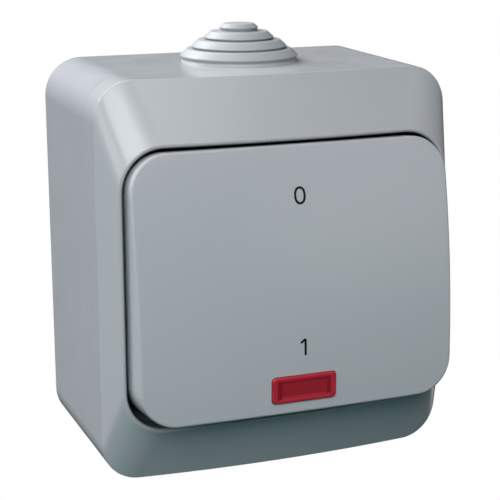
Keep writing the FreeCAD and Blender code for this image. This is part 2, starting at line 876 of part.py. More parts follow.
def crowned_front(inset):
    # Solid whose front is the rocker's doubly crowned face, moved back by inset.
    bulge_radius = (rocker_half_z ** 2 + rocker_bulge ** 2) / (2 * rocker_bulge)
    cross_radius = (rocker_half_x ** 2 + rocker_cross_crown ** 2) / (2 * rocker_cross_crown)
    front = rocker_front_depth - inset
    reach = rocker_half_z + 2

    def sagged(z):
        return front - bulge_radius + math.sqrt(bulge_radius ** 2 - z ** 2)

    low = Vector(0, -sagged(reach), -reach)
    high = Vector(0, -sagged(reach), reach)
    back = pivot_depth - 2 * rocker_skirt_back - 2
    edges = [
        Part.Arc(low, Vector(0, -front, 0), high).toShape(),
        Part.makeLine(high, Vector(0, -back, reach)),
        Part.makeLine(Vector(0, -back, reach), Vector(0, -back, -reach)),
        Part.makeLine(Vector(0, -back, -reach), low),
    ]
    face = Part.Face(Part.Wire(edges))
    axis = Vector(0, cross_radius - front, 0)
    sweep = 2 * math.degrees(math.asin((rocker_half_x + 3) / cross_radius))
    face.rotate(axis, Z, -sweep / 2)
    return face.revolve(axis, Z, sweep)


def lens_frame(shape):
    # Moves a shape drawn about the origin, front at -Y, to the lens's place on the rocker's face.
    bulge_radius = (rocker_half_z ** 2 + rocker_bulge ** 2) / (2 * rocker_bulge)
    lean = math.degrees(math.asin(lens_z / bulge_radius))
    depth = rocker_front_depth - bulge_radius + math.sqrt(bulge_radius ** 2 - lens_z ** 2)
    shape.rotate(Vector(0, 0, 0), X, -lean)
    shape.translate(Vector(0, -depth, lens_z))
    return shape


def make_rocker():
    back = pivot_depth - rocker_skirt_back
    body = prism(rocker_half_x, rocker_half_z, rocker_radius, back, rocker_front_depth + 1)
    body = body.common(crowned_front(0))
    # The front face is bounded by the edges whose ends both lie in front of the skirt.
    rim = [edge for edge in body.Edges if all(-v.Y > back + rocker_wall for v in edge.Vertexes)]
    body = body.makeFillet(rocker_edge_fillet, rim)
    inner = prism(
        rocker_half_x - rocker_wall, rocker_half_z - rocker_wall, rocker_radius - rocker_wall,
        back - 1, rocker_front_depth,
    )
    inner = inner.common(crowned_front(rocker_front))
    body = body.cut(inner)
    solids = [body] + rocker_ribs_and_clips(inner)
    rocker = fuse(solids)
    window = prism(lens_width / 2 + lens_clear, lens_height / 2 + lens_clear, lens_radius + lens_clear, -4, 3)
    rocker = rocker.cut(lens_frame(window))
    return tilted(rocker)


def rocker_ribs_and_clips(inner):
    # Ribs stand on the carrier's plate, and four clips hook behind its ends.
    seat = pivot_depth + carrier_plate_reach + carrier_plate
    plate_back = pivot_depth + carrier_plate_reach
    front = rocker_front_depth
    solids = []
    for x in (-clip_x, clip_x):
        low_x = x - rib_thickness / 2
        high = carrier_half_height - 1
        rib = block(low_x, low_x + rib_thickness, seat, front, -high, high)
        solids.append(rib.common(inner))
        for side in (-1, 1):
            low = carrier_half_height + hole_clear
            half = clip_width / 2
            leg = block(x - half, x + half, plate_back - 1.2, front, low, low + clip_thickness)
            nib = block(
                x - clip_width / 2, x + clip_width / 2, plate_back - 1.2, plate_back - hole_clear,
                low - clip_nib, low + clip_thickness / 2,
            )
            clip = leg.common(inner).fuse(nib)
            if side < 0:
                clip = clip.mirror(Vector(0, 0, 0), Z)
            solids.append(clip)
    cross = block(
        -rocker_half_x + 1, rocker_half_x - 1, seat + cross_rib_lift, front,
        cross_rib_z - rib_thickness / 2, cross_rib_z + rib_thickness / 2,
    )
    solids.append(cross.common(inner))
    return solids


def make_indicator_lens():
    half_x = lens_width / 2
    half_z = lens_height / 2
    lens = prism(half_x, half_z, lens_radius, -lens_body, lens_proud)
    lens = lens.makeChamfer(lens_proud * 0.6, front_edges(lens, lens_proud))
    low = lens_proud - lens_recess
    floor = outline(half_x - lens_rim - lens_slope / 2, half_z - lens_rim - lens_slope / 2, 0.3, low)
    mouth = outline(half_x - lens_rim, half_z - lens_rim, 0.5, lens_proud + 0.05)
    lens = lens.cut(Part.makeLoft([floor, mouth], True, True))
    shelf = prism(half_x + 0.9, half_z * 0.5, 0.4, -lens_body, -rocker_front - 0.5)
    lens = lens.fuse(shelf).removeSplitter()
    return tilted(lens_frame(lens))


def lead_places():
    # Where the two outer leads turn back into the mechanism cover.
    left = -lamp_length / 2 - 2 * lead_bend
    right = lamp_length / 2 + resistor_gap + resistor_length + 2 * lead_bend
    return (left, right)


def make_pilot_lamp():
    depth = plate_front + lamp_height
    half = lamp_length / 2
    glass = rod_x(-half + lamp_radius, half - 1, depth, lamp_z, lamp_radius)
    dome = Part.makeSphere(lamp_radius, Vector(-half + lamp_radius, -depth, lamp_z))
    pinch = block(half - 1.5, half, depth - 0.7, depth + 0.7, lamp_z - 1.6, lamp_z + 1.6)
    return fuse([glass, dome, pinch])


def bent_lead(x_start, x_turn):
    # Wire that leaves level, turns on a round and goes back into the cover.
    depth = plate_front + lamp_height
    side = 1 if x_turn > x_start else -1
    end = frame_front + lead_end
    start = Vector(x_start, -depth, lamp_z)
    bend_in = Vector(x_turn - side * lead_bend, -depth, lamp_z)
    k = lead_bend * (1 - math.sqrt(0.5))
    bend_mid = Vector(x_turn - side * k, -depth + k, lamp_z)
    bend_out = Vector(x_turn, -depth + lead_bend, lamp_z)
    finish = Vector(x_turn, -end, lamp_z)
    path = Part.Wire(
        [
            Part.makeLine(start, bend_in),
            Part.Arc(bend_in, bend_mid, bend_out).toShape(),
            Part.makeLine(bend_out, finish),
        ]
    )
    return path.makePipeShell([hexagon(start, lead_radius, Y, Z)], True, True)


def make_lamp_leads():
    depth = plate_front + lamp_height
    left, right = lead_places()
    half = lamp_length / 2
    middle = rod_x(half, half + resistor_gap, depth, lamp_z, lead_radius)
    wires = [bent_lead(-half, left), middle, bent_lead(half + resistor_gap + resistor_length, right)]
    return Part.makeCompound(wires)


def make_lamp_resistor():
    depth = plate_front + lamp_height
    start = lamp_length / 2 + resistor_gap
    body = rod_x(start, start + resistor_length, depth, lamp_z, resistor_radius)
    return body.makeChamfer(0.3, [edge for edge in body.Edges if edge.BoundBox.XLength < 1e-6])


def make_earth_terminal():
    low = wall + earth_post
    rail = block(
        earth_x - earth_width / 2, earth_x + earth_width / 2, low, low + earth_depth,
        earth_z - earth_height / 2, earth_z + earth_height / 2,
    )
    rail = rail.cut(
        rod_x(
            earth_x - earth_width, earth_x + earth_width,
            low + earth_depth / 2 - 0.5, earth_z, earth_wire_radius,
        )
    )
    for x in earth_screw_places():
        bore = screw_radius + hole_clear
        rail = rail.cut(rod_y(x, earth_z, low + earth_depth / 2, low + earth_depth + 1, bore))
    return rail


def earth_screw_places():
    return [earth_x - earth_width / 4, earth_x + earth_width / 4]


def make_earth_screws():
    top = wall + earth_post + earth_depth
    screws = []
    for x in earth_screw_places():
        head_base = top + earth_head_clear
        screw = pan_screw(x, earth_z, head_base, earth_depth / 2, screw_radius, earth_head_radius, earth_head)
        screws.append(screw)
    return Part.makeCompound(screws)


def make_parts():
    parts = {
        "back_box": make_back_box(),
        "cable_gland": make_cable_gland(),
        "box_gasket": make_box_gasket(),
        "front_cover": make_front_cover(),
        "cover_screws": make_cover_screws(),
        "rocker_seal": make_rocker_seal(),
        "support_frame": make_support_frame(),
        "frame_screws": make_frame_screws(),
        "mechanism_housing": make_mechanism_housing(),
        "mechanism_cover": make_mechanism_cover(),
        "mechanism_rivets": make_mechanism_rivets(),
        "terminal_clamps": make_terminal_clamps(),
        "terminal_screws": make_terminal_screws(),
        "fixed_tips": make_fixed_tips(),
        "pilot_lamp": make_pilot_lamp(),
        "lamp_leads": make_lamp_leads(),
        "lamp_resistor": make_lamp_resistor(),
        "earth_terminal": make_earth_terminal(),
        "earth_screws": make_earth_screws(),
        "rocker": make_rocker(),
        "indicator_lens": make_indicator_lens(),
        "rocker_carrier": make_rocker_carrier(),
    }
    for name, x in pole_places:
        parts["fixed_contact_" + name] = make_fixed_contact(x)
        parts["pivot_contact_" + name] = make_pivot_contact(x)
        parts["contact_bridge_" + name] = make_contact_bridge(x)
        parts["moving_tip_" + name] = make_moving_tip(x)
        parts["plunger_" + name] = make_plunger(x)
        parts["plunger_spring_" + name] = make_plunger_spring(x)
    return parts


def main():
    os.makedirs("parts", exist_ok=True)
    for name, shape in make_parts().items():
        shape.exportStep("parts/" + name + ".step")
        box = shape.BoundBox
        volume = round(shape.Volume, 1)
        print(name, len(shape.Solids), shape.isValid(), volume, round(box.ZMin, 2), round(box.ZMax, 2))


main()
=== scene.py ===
import json
import math
import bmesh
import bpy
import numpy as np
from mathutils import Matrix, Vector


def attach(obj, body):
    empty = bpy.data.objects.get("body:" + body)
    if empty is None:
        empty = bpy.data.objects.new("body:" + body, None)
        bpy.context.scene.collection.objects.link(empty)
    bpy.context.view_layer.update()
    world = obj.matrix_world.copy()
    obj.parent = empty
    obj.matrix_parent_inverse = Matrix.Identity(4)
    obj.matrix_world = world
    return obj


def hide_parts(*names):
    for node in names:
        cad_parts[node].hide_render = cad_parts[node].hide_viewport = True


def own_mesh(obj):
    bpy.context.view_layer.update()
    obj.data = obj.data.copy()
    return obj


# Outdoor rocker switch, seen from the upper left. Lengths in the tables are millimetres.
# From the front X is right and Z is up, and a depth is a distance from the wall to the front.

millimetre = 0.001
white = (1, 1, 1)

# In metres: points closer than the first are one point, and shorter edges than the second go.
mergeReach = 1e-7
sliverReach = 1e-8

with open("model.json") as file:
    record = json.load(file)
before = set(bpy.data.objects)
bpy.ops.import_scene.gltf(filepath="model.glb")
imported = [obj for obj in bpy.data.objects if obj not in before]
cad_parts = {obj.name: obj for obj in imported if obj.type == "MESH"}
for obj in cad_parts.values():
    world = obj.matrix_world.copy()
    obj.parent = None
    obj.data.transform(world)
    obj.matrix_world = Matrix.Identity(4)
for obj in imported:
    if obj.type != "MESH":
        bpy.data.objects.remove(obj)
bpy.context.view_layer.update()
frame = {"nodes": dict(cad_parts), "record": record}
nodes = frame["nodes"]
print("frame loaded:", len(nodes), "nodes")

# Fitted to the object's edges in the photograph: the place in metres, and the turns about X, Y
# and Z in degrees.
view = {
    "place": (-0.104604, -0.29659, 0.075371),
    "turns": (75.74197, 0.1163, -20.98855),
    "lens": 103.595,
    "sensor": 36.0,
    "clipNear": 0.01,
    "clipFar": 20,
}

cameraData = bpy.data.cameras.new("camera")
cameraData.lens = view["lens"]
cameraData.sensor_width = view["sensor"]
cameraData.clip_start = view["clipNear"]
cameraData.clip_end = view["clipFar"]
camera = bpy.data.objects.new("camera", cameraData)
bpy.context.scene.collection.objects.link(camera)
camera.location = view["place"]
camera.rotation_euler = [math.radians(degrees) for degrees in view["turns"]]
bpy.context.scene.camera = camera
print("camera set")


# One round of a rounded rectangle, counter-clockwise from the front: each point is a corner
# centre (given by its signs) plus the corner radius turned to an angle. Straight runs slide
# the centre, corners turn the angle, and points crowd together where the two meet.
def walkRound(cornerSteps=14, sideSteps=16, endSteps=28):
    signsX, signsZ, angles = [], [], []

    def straight(x0, x1, z0, z1, angle, steps):
        share = 0.5 - 0.5 * np.cos(np.pi * np.arange(steps) / steps)
        signsX.append(x0 + (x1 - x0) * share)
        signsZ.append(z0 + (z1 - z0) * share)
        angles.append(np.full(steps, angle))

    def corner(x, z, angle):
        share = np.arange(cornerSteps) / cornerSteps
        signsX.append(np.full(cornerSteps, x))
        signsZ.append(np.full(cornerSteps, z))
        angles.append(angle + 90.0 * share)

    straight(1, 1, -1, 1, 0, sideSteps)
    corner(1, 1, 0)
    straight(1, -1, 1, 1, 90, endSteps)
    corner(-1, 1, 90)
    straight(-1, -1, 1, -1, 180, sideSteps)
    corner(-1, -1, 180)
    straight(-1, 1, -1, -1, 270, endSteps)
    corner(1, -1, 270)
    turn = np.radians(np.concatenate(angles))
    return np.concatenate(signsX), np.concatenate(signsZ), np.cos(turn), np.sin(turn)


# Rounded rectangle at one depth, as points (x, -depth, z). The upper and lower edges may swell
# forwards as arcs of a circle with the given rise.
def roundedLoop(walk, halfX, halfZ, radius, depth, bowTop=0.0, bowBottom=0.0):
    signX, signZ, cosine, sine = walk
    x = signX * (halfX - radius) + radius * cosine
    z = signZ * (halfZ - radius) + radius * sine
    reach = halfX - radius
    level = 0.999
    rise = np.zeros_like(x)
    for bow, chosen in ((bowTop, sine > level), (bowBottom, sine < -level)):
        if bow > 0:
            bend = (reach ** 2 + bow ** 2) / (2 * bow)
            rise[chosen] = np.sqrt(bend ** 2 - x[chosen] ** 2) - (bend - bow)
    return np.stack([x, -(depth + rise), z], axis=1)


# Straight rows from one loop to another at the given shares of the way, ends left out.
def rowsBetween(first, second, shares):
    return [first + (second - first) * share for share in shares]


# Quadratic curve from one loop or point to another, pulled towards the one in the middle.
def softCorner(first, middle, second, steps):
    return [
        (1 - share) ** 2 * first + 2 * share * (1 - share) * middle + share ** 2 * second
        for share in np.linspace(0, 1, steps + 1)]


# Point of a loop moved a set distance towards another loop.
def towards(first, second, distance):
    way = second - first
    return first + way * (distance / np.linalg.norm(way, axis=1, keepdims=True))


# Mesh over a grid of points given in millimetres. Each row closes on itself, the rows together may
# too, and a row that falls on one point is merged into a pole.
def gridMesh(name, points, closeRows=False):
    rows, columns = points.shape[:2]
    index = np.arange(rows * columns).reshape(rows, columns)
    low = index if closeRows else index[:-1]
    high = np.roll(index, -1, axis=0) if closeRows else index[1:]
    quads = np.stack([low, np.roll(low, -1, axis=1), np.roll(high, -1, axis=1), high], axis=-1)
    corners = points.reshape(-1, 3) * millimetre
    mesh = bpy.data.meshes.new(name)
    mesh.from_pydata(corners.tolist(), [], quads.reshape(-1, 4).tolist())
    return closeMesh(mesh)


# Merges doubled points, drops faces with no area and turns the faces outwards.
def closeMesh(mesh):
    work = bmesh.new()
    work.from_mesh(mesh)
    bmesh.ops.remove_doubles(work, verts=work.verts, dist=mergeReach)
    bmesh.ops.dissolve_degenerate(work, dist=sliverReach, edges=work.edges)
    if work.calc_volume(signed=True) < 0:
        bmesh.ops.reverse_faces(work, faces=work.faces)
    work.to_mesh(mesh)
    work.free()
    return mesh


def newObject(name, mesh):
    thing = bpy.data.objects.new(name, mesh)
    bpy.context.scene.collection.objects.link(thing)
    return thing


# Closed blocks with eight corners each, gathered in one mesh. A corner list runs round the lower
# face and then round the upper one.
def blockMesh(name, blocks):
    corners = np.concatenate([np.array(block, float) for block in blocks]) * millimetre
    sides = np.array([
        [0, 1, 2, 3], [7, 6, 5, 4], [0, 4, 5, 1], [1, 5, 6, 2], [2, 6, 7, 3], [3, 7, 4, 0]])
    faces = np.concatenate([sides + 8 * number for number in range(len(blocks))])
    mesh = bpy.data.meshes.new(name)
    mesh.from_pydata(corners.tolist(), [], faces.tolist())
    work = bmesh.new()
    work.from_mesh(mesh)
    bmesh.ops.recalc_face_normals(work, faces=work.faces)
    work.to_mesh(mesh)
    work.free()
    return mesh


# Eight corners of an upright box between two values of x, two depths and two heights.
def boxCorners(x0, x1, depth0, depth1, z0, z1):
    flat = [(x0, z0), (x1, z0), (x1, z1), (x0, z1)]
    return [(x, -depth0, z) for x, z in flat] + [(x, -depth1, z) for x, z in flat]


# Profile of (radius, height) turned about the Z axis through a point.
def turned(profile, centreX, centreDepth, steps):
    profile = np.array(profile, float)
    angle = 2 * np.pi * np.arange(steps) / steps
    x = centreX + profile[:, :1] * np.cos(angle)
    y = -centreDepth + profile[:, :1] * np.sin(angle)
    z = np.repeat(profile[:, 1:], steps, axis=1)
    return np.stack([x, y, z], axis=2)


# Profile of (radius, depth) turned about a line along the depth.
def turnedDepth(profile, centreX, centreZ, steps):
    profile = np.array(profile, float)
    angle = 2 * np.pi * np.arange(steps) / steps
    x = centreX + profile[:, :1] * np.cos(angle)
    z = centreZ + profile[:, :1] * np.sin(angle)
    y = -np.repeat(profile[:, 1:], steps, axis=1)
    return np.stack([x, y, z], axis=2)


# Adds a tool's volume to a piece, or takes it away, and drops the tool.
def combine(piece, toolMesh, operation):
    tool = newObject("tool", toolMesh)
    change = piece.modifiers.new("combine", "BOOLEAN")
    change.operation = operation
    change.solver = "EXACT"
    change.object = tool
    bpy.context.view_layer.update()
    graph = bpy.context.evaluated_depsgraph_get()
    result = bpy.data.meshes.new_from_object(piece.evaluated_get(graph))
    piece.modifiers.clear()
    piece.data = result
    bpy.data.objects.remove(tool)


# Smooth shading up to a crease angle, with the material, the body and the node it stands for.
def finishPiece(piece, material, body, node=None, crease=28.0):
    mesh = piece.data
    mesh.materials.clear()
    mesh.materials.append(material)
    mesh.polygons.foreach_set("use_smooth", np.ones(len(mesh.polygons), bool))
    mesh.polygons.foreach_set("material_index", np.zeros(len(mesh.polygons), np.int32))
    mesh.set_sharp_from_angle(angle=math.radians(crease))
    mesh.update()
    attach(piece, body)
    if node:
        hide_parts(node)
    print("piece", piece.name, len(mesh.polygons), "faces")


def newGroup(name, inputs, outputs):
    group = bpy.data.node_groups.new(name, "ShaderNodeTree")
    for label, kind, value in inputs:
        socket = group.interface.new_socket(name=label, in_out="INPUT", socket_type=kind)
        socket.default_value = value
    for label, kind in outputs:
        group.interface.new_socket(name=label, in_out="OUTPUT", socket_type=kind)
    return group, group.nodes.new("NodeGroupInput"), group.nodes.new("NodeGroupOutput")


def addNode(tree, kind, **settings):
    node = tree.nodes.new(kind)
    for label, value in settings.items():
        setattr(node, label, value)
    return node


def noiseNode(tree, coordinates, scale, detail=2.0, roughness=0.5):
    noise = addNode(tree, "ShaderNodeTexNoise")
    noise.inputs["Scale"].default_value = scale
    noise.inputs["Detail"].default_value = detail
    noise.inputs["Roughness"].default_value = roughness
    tree.links.new(coordinates, noise.inputs["Vector"])
    return noise.outputs["Fac"]


# Stretches the part of a value between two ends over 0 to 1. The first end may be the higher one.
def spreadNode(tree, value, ends):
    spread = addNode(tree, "ShaderNodeMapRange")
    spread.inputs["From Min"].default_value = ends[0]
    spread.inputs["From Max"].default_value = ends[1]
    tree.links.new(value, spread.inputs["Value"])
    return spread


# Goes from the first colour to the second, which is a socket or a fixed colour, as the mask rises.
def mixColours(tree, mask, first, second):
    mixed = addNode(tree, "ShaderNodeMix", data_type="RGBA")
    tree.links.new(mask, mixed.inputs["Factor"])
    tree.links.new(first, mixed.inputs["A"])
    if isinstance(second, tuple):
        mixed.inputs["B"].default_value = second
    else:
        tree.links.new(second, mixed.inputs["B"])
    return mixed.outputs["Result"]


# Sizes are in metres, and scales are in cycles per metre.
pattern = {
    "drift": 38.0,
    "specks": 2600.0,
    "speckShare": 0.35,
    "shadeEnds": (0.40, 0.95),
    "smears": 120.0,
    "glossEnds": (0.3, 0.7),
    "peel": 1500.0,
    "reliefDepth": 0.00002,
    "rollLines": 4200.0,
    "rollStretch": (1.0, 1.0, 0.06),
    "stains": 240.0,
}

# Painted shade in narrow crevices: how far a neighbour counts, in metres, the shares of open sky at
# which the painted darkening starts and is full, and the near-black colour that is painted there.
paintedGapShade = {
    "reach": 0.004,
    "skyEnds": (0.6, 0.05),
    "raysPerPoint": 8,
    "shade": (0.003, 0.010, 0.013, 1),
}

surfaceInputs = [
    ("Shade A", "NodeSocketColor", (0.6, 0.6, 0.6, 1)),
    ("Shade B", "NodeSocketColor", (0.5, 0.5, 0.5, 1)),
    ("Gloss Low", "NodeSocketFloat", 0.25),
    ("Gloss High", "NodeSocketFloat", 0.4),
    ("Relief", "NodeSocketFloat", 0.1),
]
surfaceOutputs = [
    ("Color", "NodeSocketColor"), ("Roughness", "NodeSocketFloat"), ("Normal", "NodeSocketVector")]


# Gloss between the two given values as a mask rises, and a very shallow relief from a height.
def glossAndRelief(group, given, result, mask, height):
    link = group.links.new
    gloss = spreadNode(group, mask, pattern["glossEnds"])
    link(given.outputs["Gloss Low"], gloss.inputs["To Min"])
    link(given.outputs["Gloss High"], gloss.inputs["To Max"])
    link(gloss.outputs["Result"], result.inputs["Roughness"])
    bump = addNode(group, "ShaderNodeBump")
    bump.inputs["Distance"].default_value = pattern["reliefDepth"]
    link(given.outputs["Relief"], bump.inputs["Strength"])
    link(height, bump.inputs["Height"])
    link(bump.outputs["Normal"], result.inputs["Normal"])


# Moulded plastic or rubber: two close shades in slow drifts and fine specks, gloss that changes a
# little from place to place, and a very shallow orange-peel relief. Painted shade: where
# neighbouring surfaces hide the open sky, the colour is painted darker towards a near-black, as in
# narrow crevices.
def mouldedGroup():
    paintedShadeInput = ("Painted Gap Shade", "NodeSocketFloat", 0.0)
    group, given, result = newGroup("mouldedSurface", surfaceInputs + [paintedShadeInput], surfaceOutputs)
    link = group.links.new
    place = addNode(group, "ShaderNodeTexCoord").outputs["Object"]
    both = addNode(group, "ShaderNodeMath", operation="MULTIPLY_ADD")
    both.inputs[1].default_value = pattern["speckShare"]
    link(noiseNode(group, place, pattern["specks"]), both.inputs[0])
    link(noiseNode(group, place, pattern["drift"], detail=3.0), both.inputs[2])
    share = spreadNode(group, both.outputs[0], pattern["shadeEnds"])
    shade = mixColours(
        group, share.outputs["Result"], given.outputs["Shade A"], given.outputs["Shade B"])
    # painted shade: ambient occlusion darkens the colour in narrow crevices, as much as the input
    # asks
    sky = addNode(group, "ShaderNodeAmbientOcclusion", samples=paintedGapShade["raysPerPoint"])
    sky.inputs["Distance"].default_value = paintedGapShade["reach"]
    paintedShadeShare = spreadNode(group, sky.outputs["AO"], paintedGapShade["skyEnds"])
    link(given.outputs["Painted Gap Shade"], paintedShadeShare.inputs["To Max"])
    link(mixColours(group, paintedShadeShare.outputs["Result"], shade, paintedGapShade["shade"]), result.inputs["Color"])
    smears = noiseNode(group, place, pattern["smears"], detail=4.0, roughness=0.6)
    peel = noiseNode(group, place, pattern["peel"], detail=1.0)
    glossAndRelief(group, given, result, smears, peel)
    return group


# Plated or stamped metal: rolling lines along one way, faint stains and a scuffed gloss.
def metalGroup():
    group, given, result = newGroup("workedMetal", surfaceInputs, surfaceOutputs)
    link = group.links.new
    place = addNode(group, "ShaderNodeTexCoord").outputs["Object"]
    stretch = addNode(group, "ShaderNodeMapping")
    stretch.inputs["Scale"].default_value = pattern["rollStretch"]
    link(place, stretch.inputs["Vector"])
    lines = noiseNode(group, stretch.outputs["Vector"], pattern["rollLines"])
    stains = noiseNode(group, place, pattern["stains"], detail=3.0)
    shade = mixColours(group, stains, given.outputs["Shade A"], given.outputs["Shade B"])
    link(shade, result.inputs["Color"])
    glossAndRelief(group, given, result, lines, lines)
    return group


# Two masks on the lens for its painted shade, with soft edges: its whole window, which is all that
# lies within a distance across and a height from its middle, and the window's sloped ends, past a
# second distance across.
def lensShadeMaskGroup():
    group, given, result = newGroup(
        "lensShadeMasks",
        [
            ("Inner", "NodeSocketFloat", 0.0),
            ("Outer", "NodeSocketFloat", 1.0),
            ("Middle Height", "NodeSocketFloat", 0.0),
            ("Half Height", "NodeSocketFloat", 1.0),
            ("Softness", "NodeSocketFloat", 0.1),
        ],
        [("Window", "NodeSocketFloat"), ("Mask", "NodeSocketFloat")])
    link = group.links.new
    place = addNode(group, "ShaderNodeSeparateXYZ")
    link(addNode(group, "ShaderNodeTexCoord").outputs["Object"], place.inputs[0])

    def mathNode(operation, first, second=None, clamp=False):
        node = addNode(group, "ShaderNodeMath", operation=operation, use_clamp=clamp)
        link(first, node.inputs[0])
        if second is not None:
            link(second, node.inputs[1])
        return node.outputs[0]

    across = mathNode("ABSOLUTE", place.outputs["X"])
    above = mathNode("SUBTRACT", place.outputs["Z"], given.outputs["Middle Height"])
    height = mathNode("ABSOLUTE", above)

    def softStep(high, low):
        past = mathNode("SUBTRACT", high, low)
        return mathNode("DIVIDE", past, given.outputs["Softness"], clamp=True)

    pastInner = softStep(across, given.outputs["Inner"])
    beforeOuter = softStep(given.outputs["Outer"], across)
    window = mathNode("MULTIPLY", beforeOuter, softStep(given.outputs["Half Height"], height))
    link(window, result.inputs["Window"])
    link(mathNode("MULTIPLY", pastInner, window), result.inputs["Mask"])
    return group


mouldedSurface = mouldedGroup()
workedMetal = metalGroup()
lensShadeMasks = lensShadeMaskGroup()


# Colours are linear. Gloss is the roughness at the two ends of the smears. The crevice value sets
# how strongly painted shade darkens narrow openings.
mouldedFinishes = {
    "greyPlastic": {
        "shades": ((0.386, 0.405, 0.433), (0.396, 0.414, 0.441)),
        "gloss": (0.20, 0.27), "relief": 0.08, "paintedShadeInGap": 1.0},
    "greyRocker": {
        "shades": ((0.403, 0.423, 0.453), (0.413, 0.432, 0.461)),
        "gloss": (0.20, 0.27), "relief": 0.08},
    "glandRubber": {
        "shades": ((0.325, 0.344, 0.367), (0.338, 0.358, 0.381)),
        "gloss": (0.46, 0.56), "relief": 0.2, "paintedShadeInGap": 0.6},
    "sealRubber": {
        "shades": ((0.012, 0.012, 0.013), (0.022, 0.022, 0.022)),
        "gloss": (0.55, 0.75), "relief": 0.5, "paintedShadeInGap": 0.9},
    "redLens": {
        "shades": ((0.41, 0.020, 0.038), (0.42, 0.022, 0.040)),
        "gloss": (0.24, 0.26), "relief": 0.01},
    "blackInk": {
        "shades": ((0.003, 0.004, 0.005), (0.006, 0.006, 0.008)),
        "gloss": (0.5, 0.65), "relief": 0.2, "shader": {"Specular IOR Level": 0.15}},
    "thermoset": {
        "shades": ((0.62, 0.61, 0.55), (0.66, 0.65, 0.60)), "gloss": (0.40, 0.55), "relief": 0.3},
    "nylon": {
        "shades": ((0.50, 0.51, 0.49), (0.55, 0.56, 0.54)), "gloss": (0.38, 0.5), "relief": 0.2},
    "acetal": {
        "shades": ((0.020, 0.020, 0.022), (0.028, 0.028, 0.030)),
        "gloss": (0.3, 0.42), "relief": 0.2},
    "lacquer": {
        "shades": ((0.32, 0.22, 0.11), (0.26, 0.17, 0.08)), "gloss": (0.28, 0.4), "relief": 0.4},
    "lampGlass": {
        "shades": ((0.95, 0.86, 0.80), (0.93, 0.82, 0.76)), "gloss": (0.03, 0.07), "relief": 0.05,
        "shader": {"Transmission Weight": 0.9, "IOR": 1.5}},
}
metalFinishes = {
    "zincSteel": {
        "shades": ((0.60, 0.61, 0.62), (0.50, 0.51, 0.50)), "gloss": (0.26, 0.42), "relief": 0.3},
    "stampedBrass": {
        "shades": ((0.68, 0.47, 0.17), (0.56, 0.36, 0.12)), "gloss": (0.22, 0.38), "relief": 0.3},
    "contactSilver": {
        "shades": ((0.84, 0.83, 0.80), (0.74, 0.73, 0.70)), "gloss": (0.16, 0.30), "relief": 0.2},
}


# Material whose colour, gloss and relief come from one of the shared groups.
def surfaceMaterial(name, group, finish):
    material = bpy.data.materials.new(name)
    material.use_nodes = True
    tree = material.node_tree
    shader = tree.nodes["Principled BSDF"]
    effect = tree.nodes.new("ShaderNodeGroup")
    effect.node_tree = group
    for label, shade in zip(("Shade A", "Shade B"), finish["shades"]):
        effect.inputs[label].default_value = (*shade, 1)
    for label, gloss in zip(("Gloss Low", "Gloss High"), finish["gloss"]):
        effect.inputs[label].default_value = gloss
    effect.inputs["Relief"].default_value = finish["relief"]
    # painted shade in narrow crevices, for the finishes that ask for it
    if "paintedShadeInGap" in finish:
        effect.inputs["Painted Gap Shade"].default_value = finish["paintedShadeInGap"]
    tree.links.new(effect.outputs["Color"], shader.inputs["Base Color"])
    tree.links.new(effect.outputs["Roughness"], shader.inputs["Roughness"])
    tree.links.new(effect.outputs["Normal"], shader.inputs["Normal"])
    for label, value in finish.get("shader", {}).items():
        shader.inputs[label].default_value = value
    return material


materials = {
    name: surfaceMaterial(name, mouldedSurface, finish) for name, finish in mouldedFinishes.items()}
for name, finish in metalFinishes.items():
    materials[name] = surfaceMaterial(name, workedMetal, {**finish, "shader": {"Metallic": 1.0}})

slotFinishes = {
    "body_grey": "greyPlastic", "gland_rubber": "glandRubber", "seal_rubber": "sealRubber",
    "lens_red": "redLens", "mechanism_white": "thermoset", "carrier_white": "nylon",
    "plunger_plastic": "acetal", "steel": "zincSteel", "brass": "stampedBrass",
    "silver": "contactSilver", "lamp_glass": "lampGlass", "resistor_body": "lacquer",
}
for subpart in frame["record"]["subparts"]:
    mesh = nodes[subpart["node"]].data
    for number in range(len(mesh.materials)):
        mesh.materials[number] = materials[slotFinishes[subpart["material_slot"]]]
print("materials set on the inner pieces")

# Shared sizes of the box and the cover.
body = {
    "halfX": 37.0,
    "halfZ": 40.229,
    "radius": 7.8,
    "draft": 0.24,
    "wall": 2.2,
    "seam": 30.2,
    "seamBevel": 0.08,
    "breakDepth": 37.75,
    "lip": 2.0,
    "lipClear": 0.1,
}

bodyWalk = walkRound()


# Outline of the drafted body at a depth: the half sizes shrink evenly towards the front.
def bodyLoop(inset, depth, bowTop=0.0, bowBottom=0.0):
    taper = body["draft"] * depth / body["breakDepth"]
    return roundedLoop(
        bodyWalk, body["halfX"] - taper - inset, body["halfZ"] - taper - inset,
        body["radius"] - inset, depth, bowTop, bowBottom)


cover = {
    "bowTop": 1.89,
    "bowBottom": 1.54,
    "breakRound": 0.16,
    "rimDepth": 44.5,
    "rimCrown": 1.06,
    "rimRoll": 0.6,
    "rimSteps": (130, 122, 112, 100, 90, 78, 66, 54, 42, 30, 18, 8, 0),
    "openingX": 33.2,
    "openingZ": 27.689,
    "openingRadius": 8.0,
    "recess": 33.0,
    "pocketBack": 0.5,
    "pocketHalfX": 26.5,
    "pocketRibs": 8.5,
    "pocketRibHalf": 0.6,
    "throatWall": 1.8,
    "lugInner": 23.25,
    "lugOuter": 35.4,
    "lugHalfZ": 4.45,
    "lugFront": 32.2,
    "screwX": 27.0,
    "screwHole": 1.7,
    "screwStart": 1,
    "screwSteps": 40,
}


# Outline of the opening grown by an offset, with crowned upper and lower edges.
def rimLoop(offset, depth, crown):
    return roundedLoop(
        bodyWalk, cover["openingX"] + offset, cover["openingZ"] + offset,
        cover["openingRadius"] + offset, depth, crown, crown)


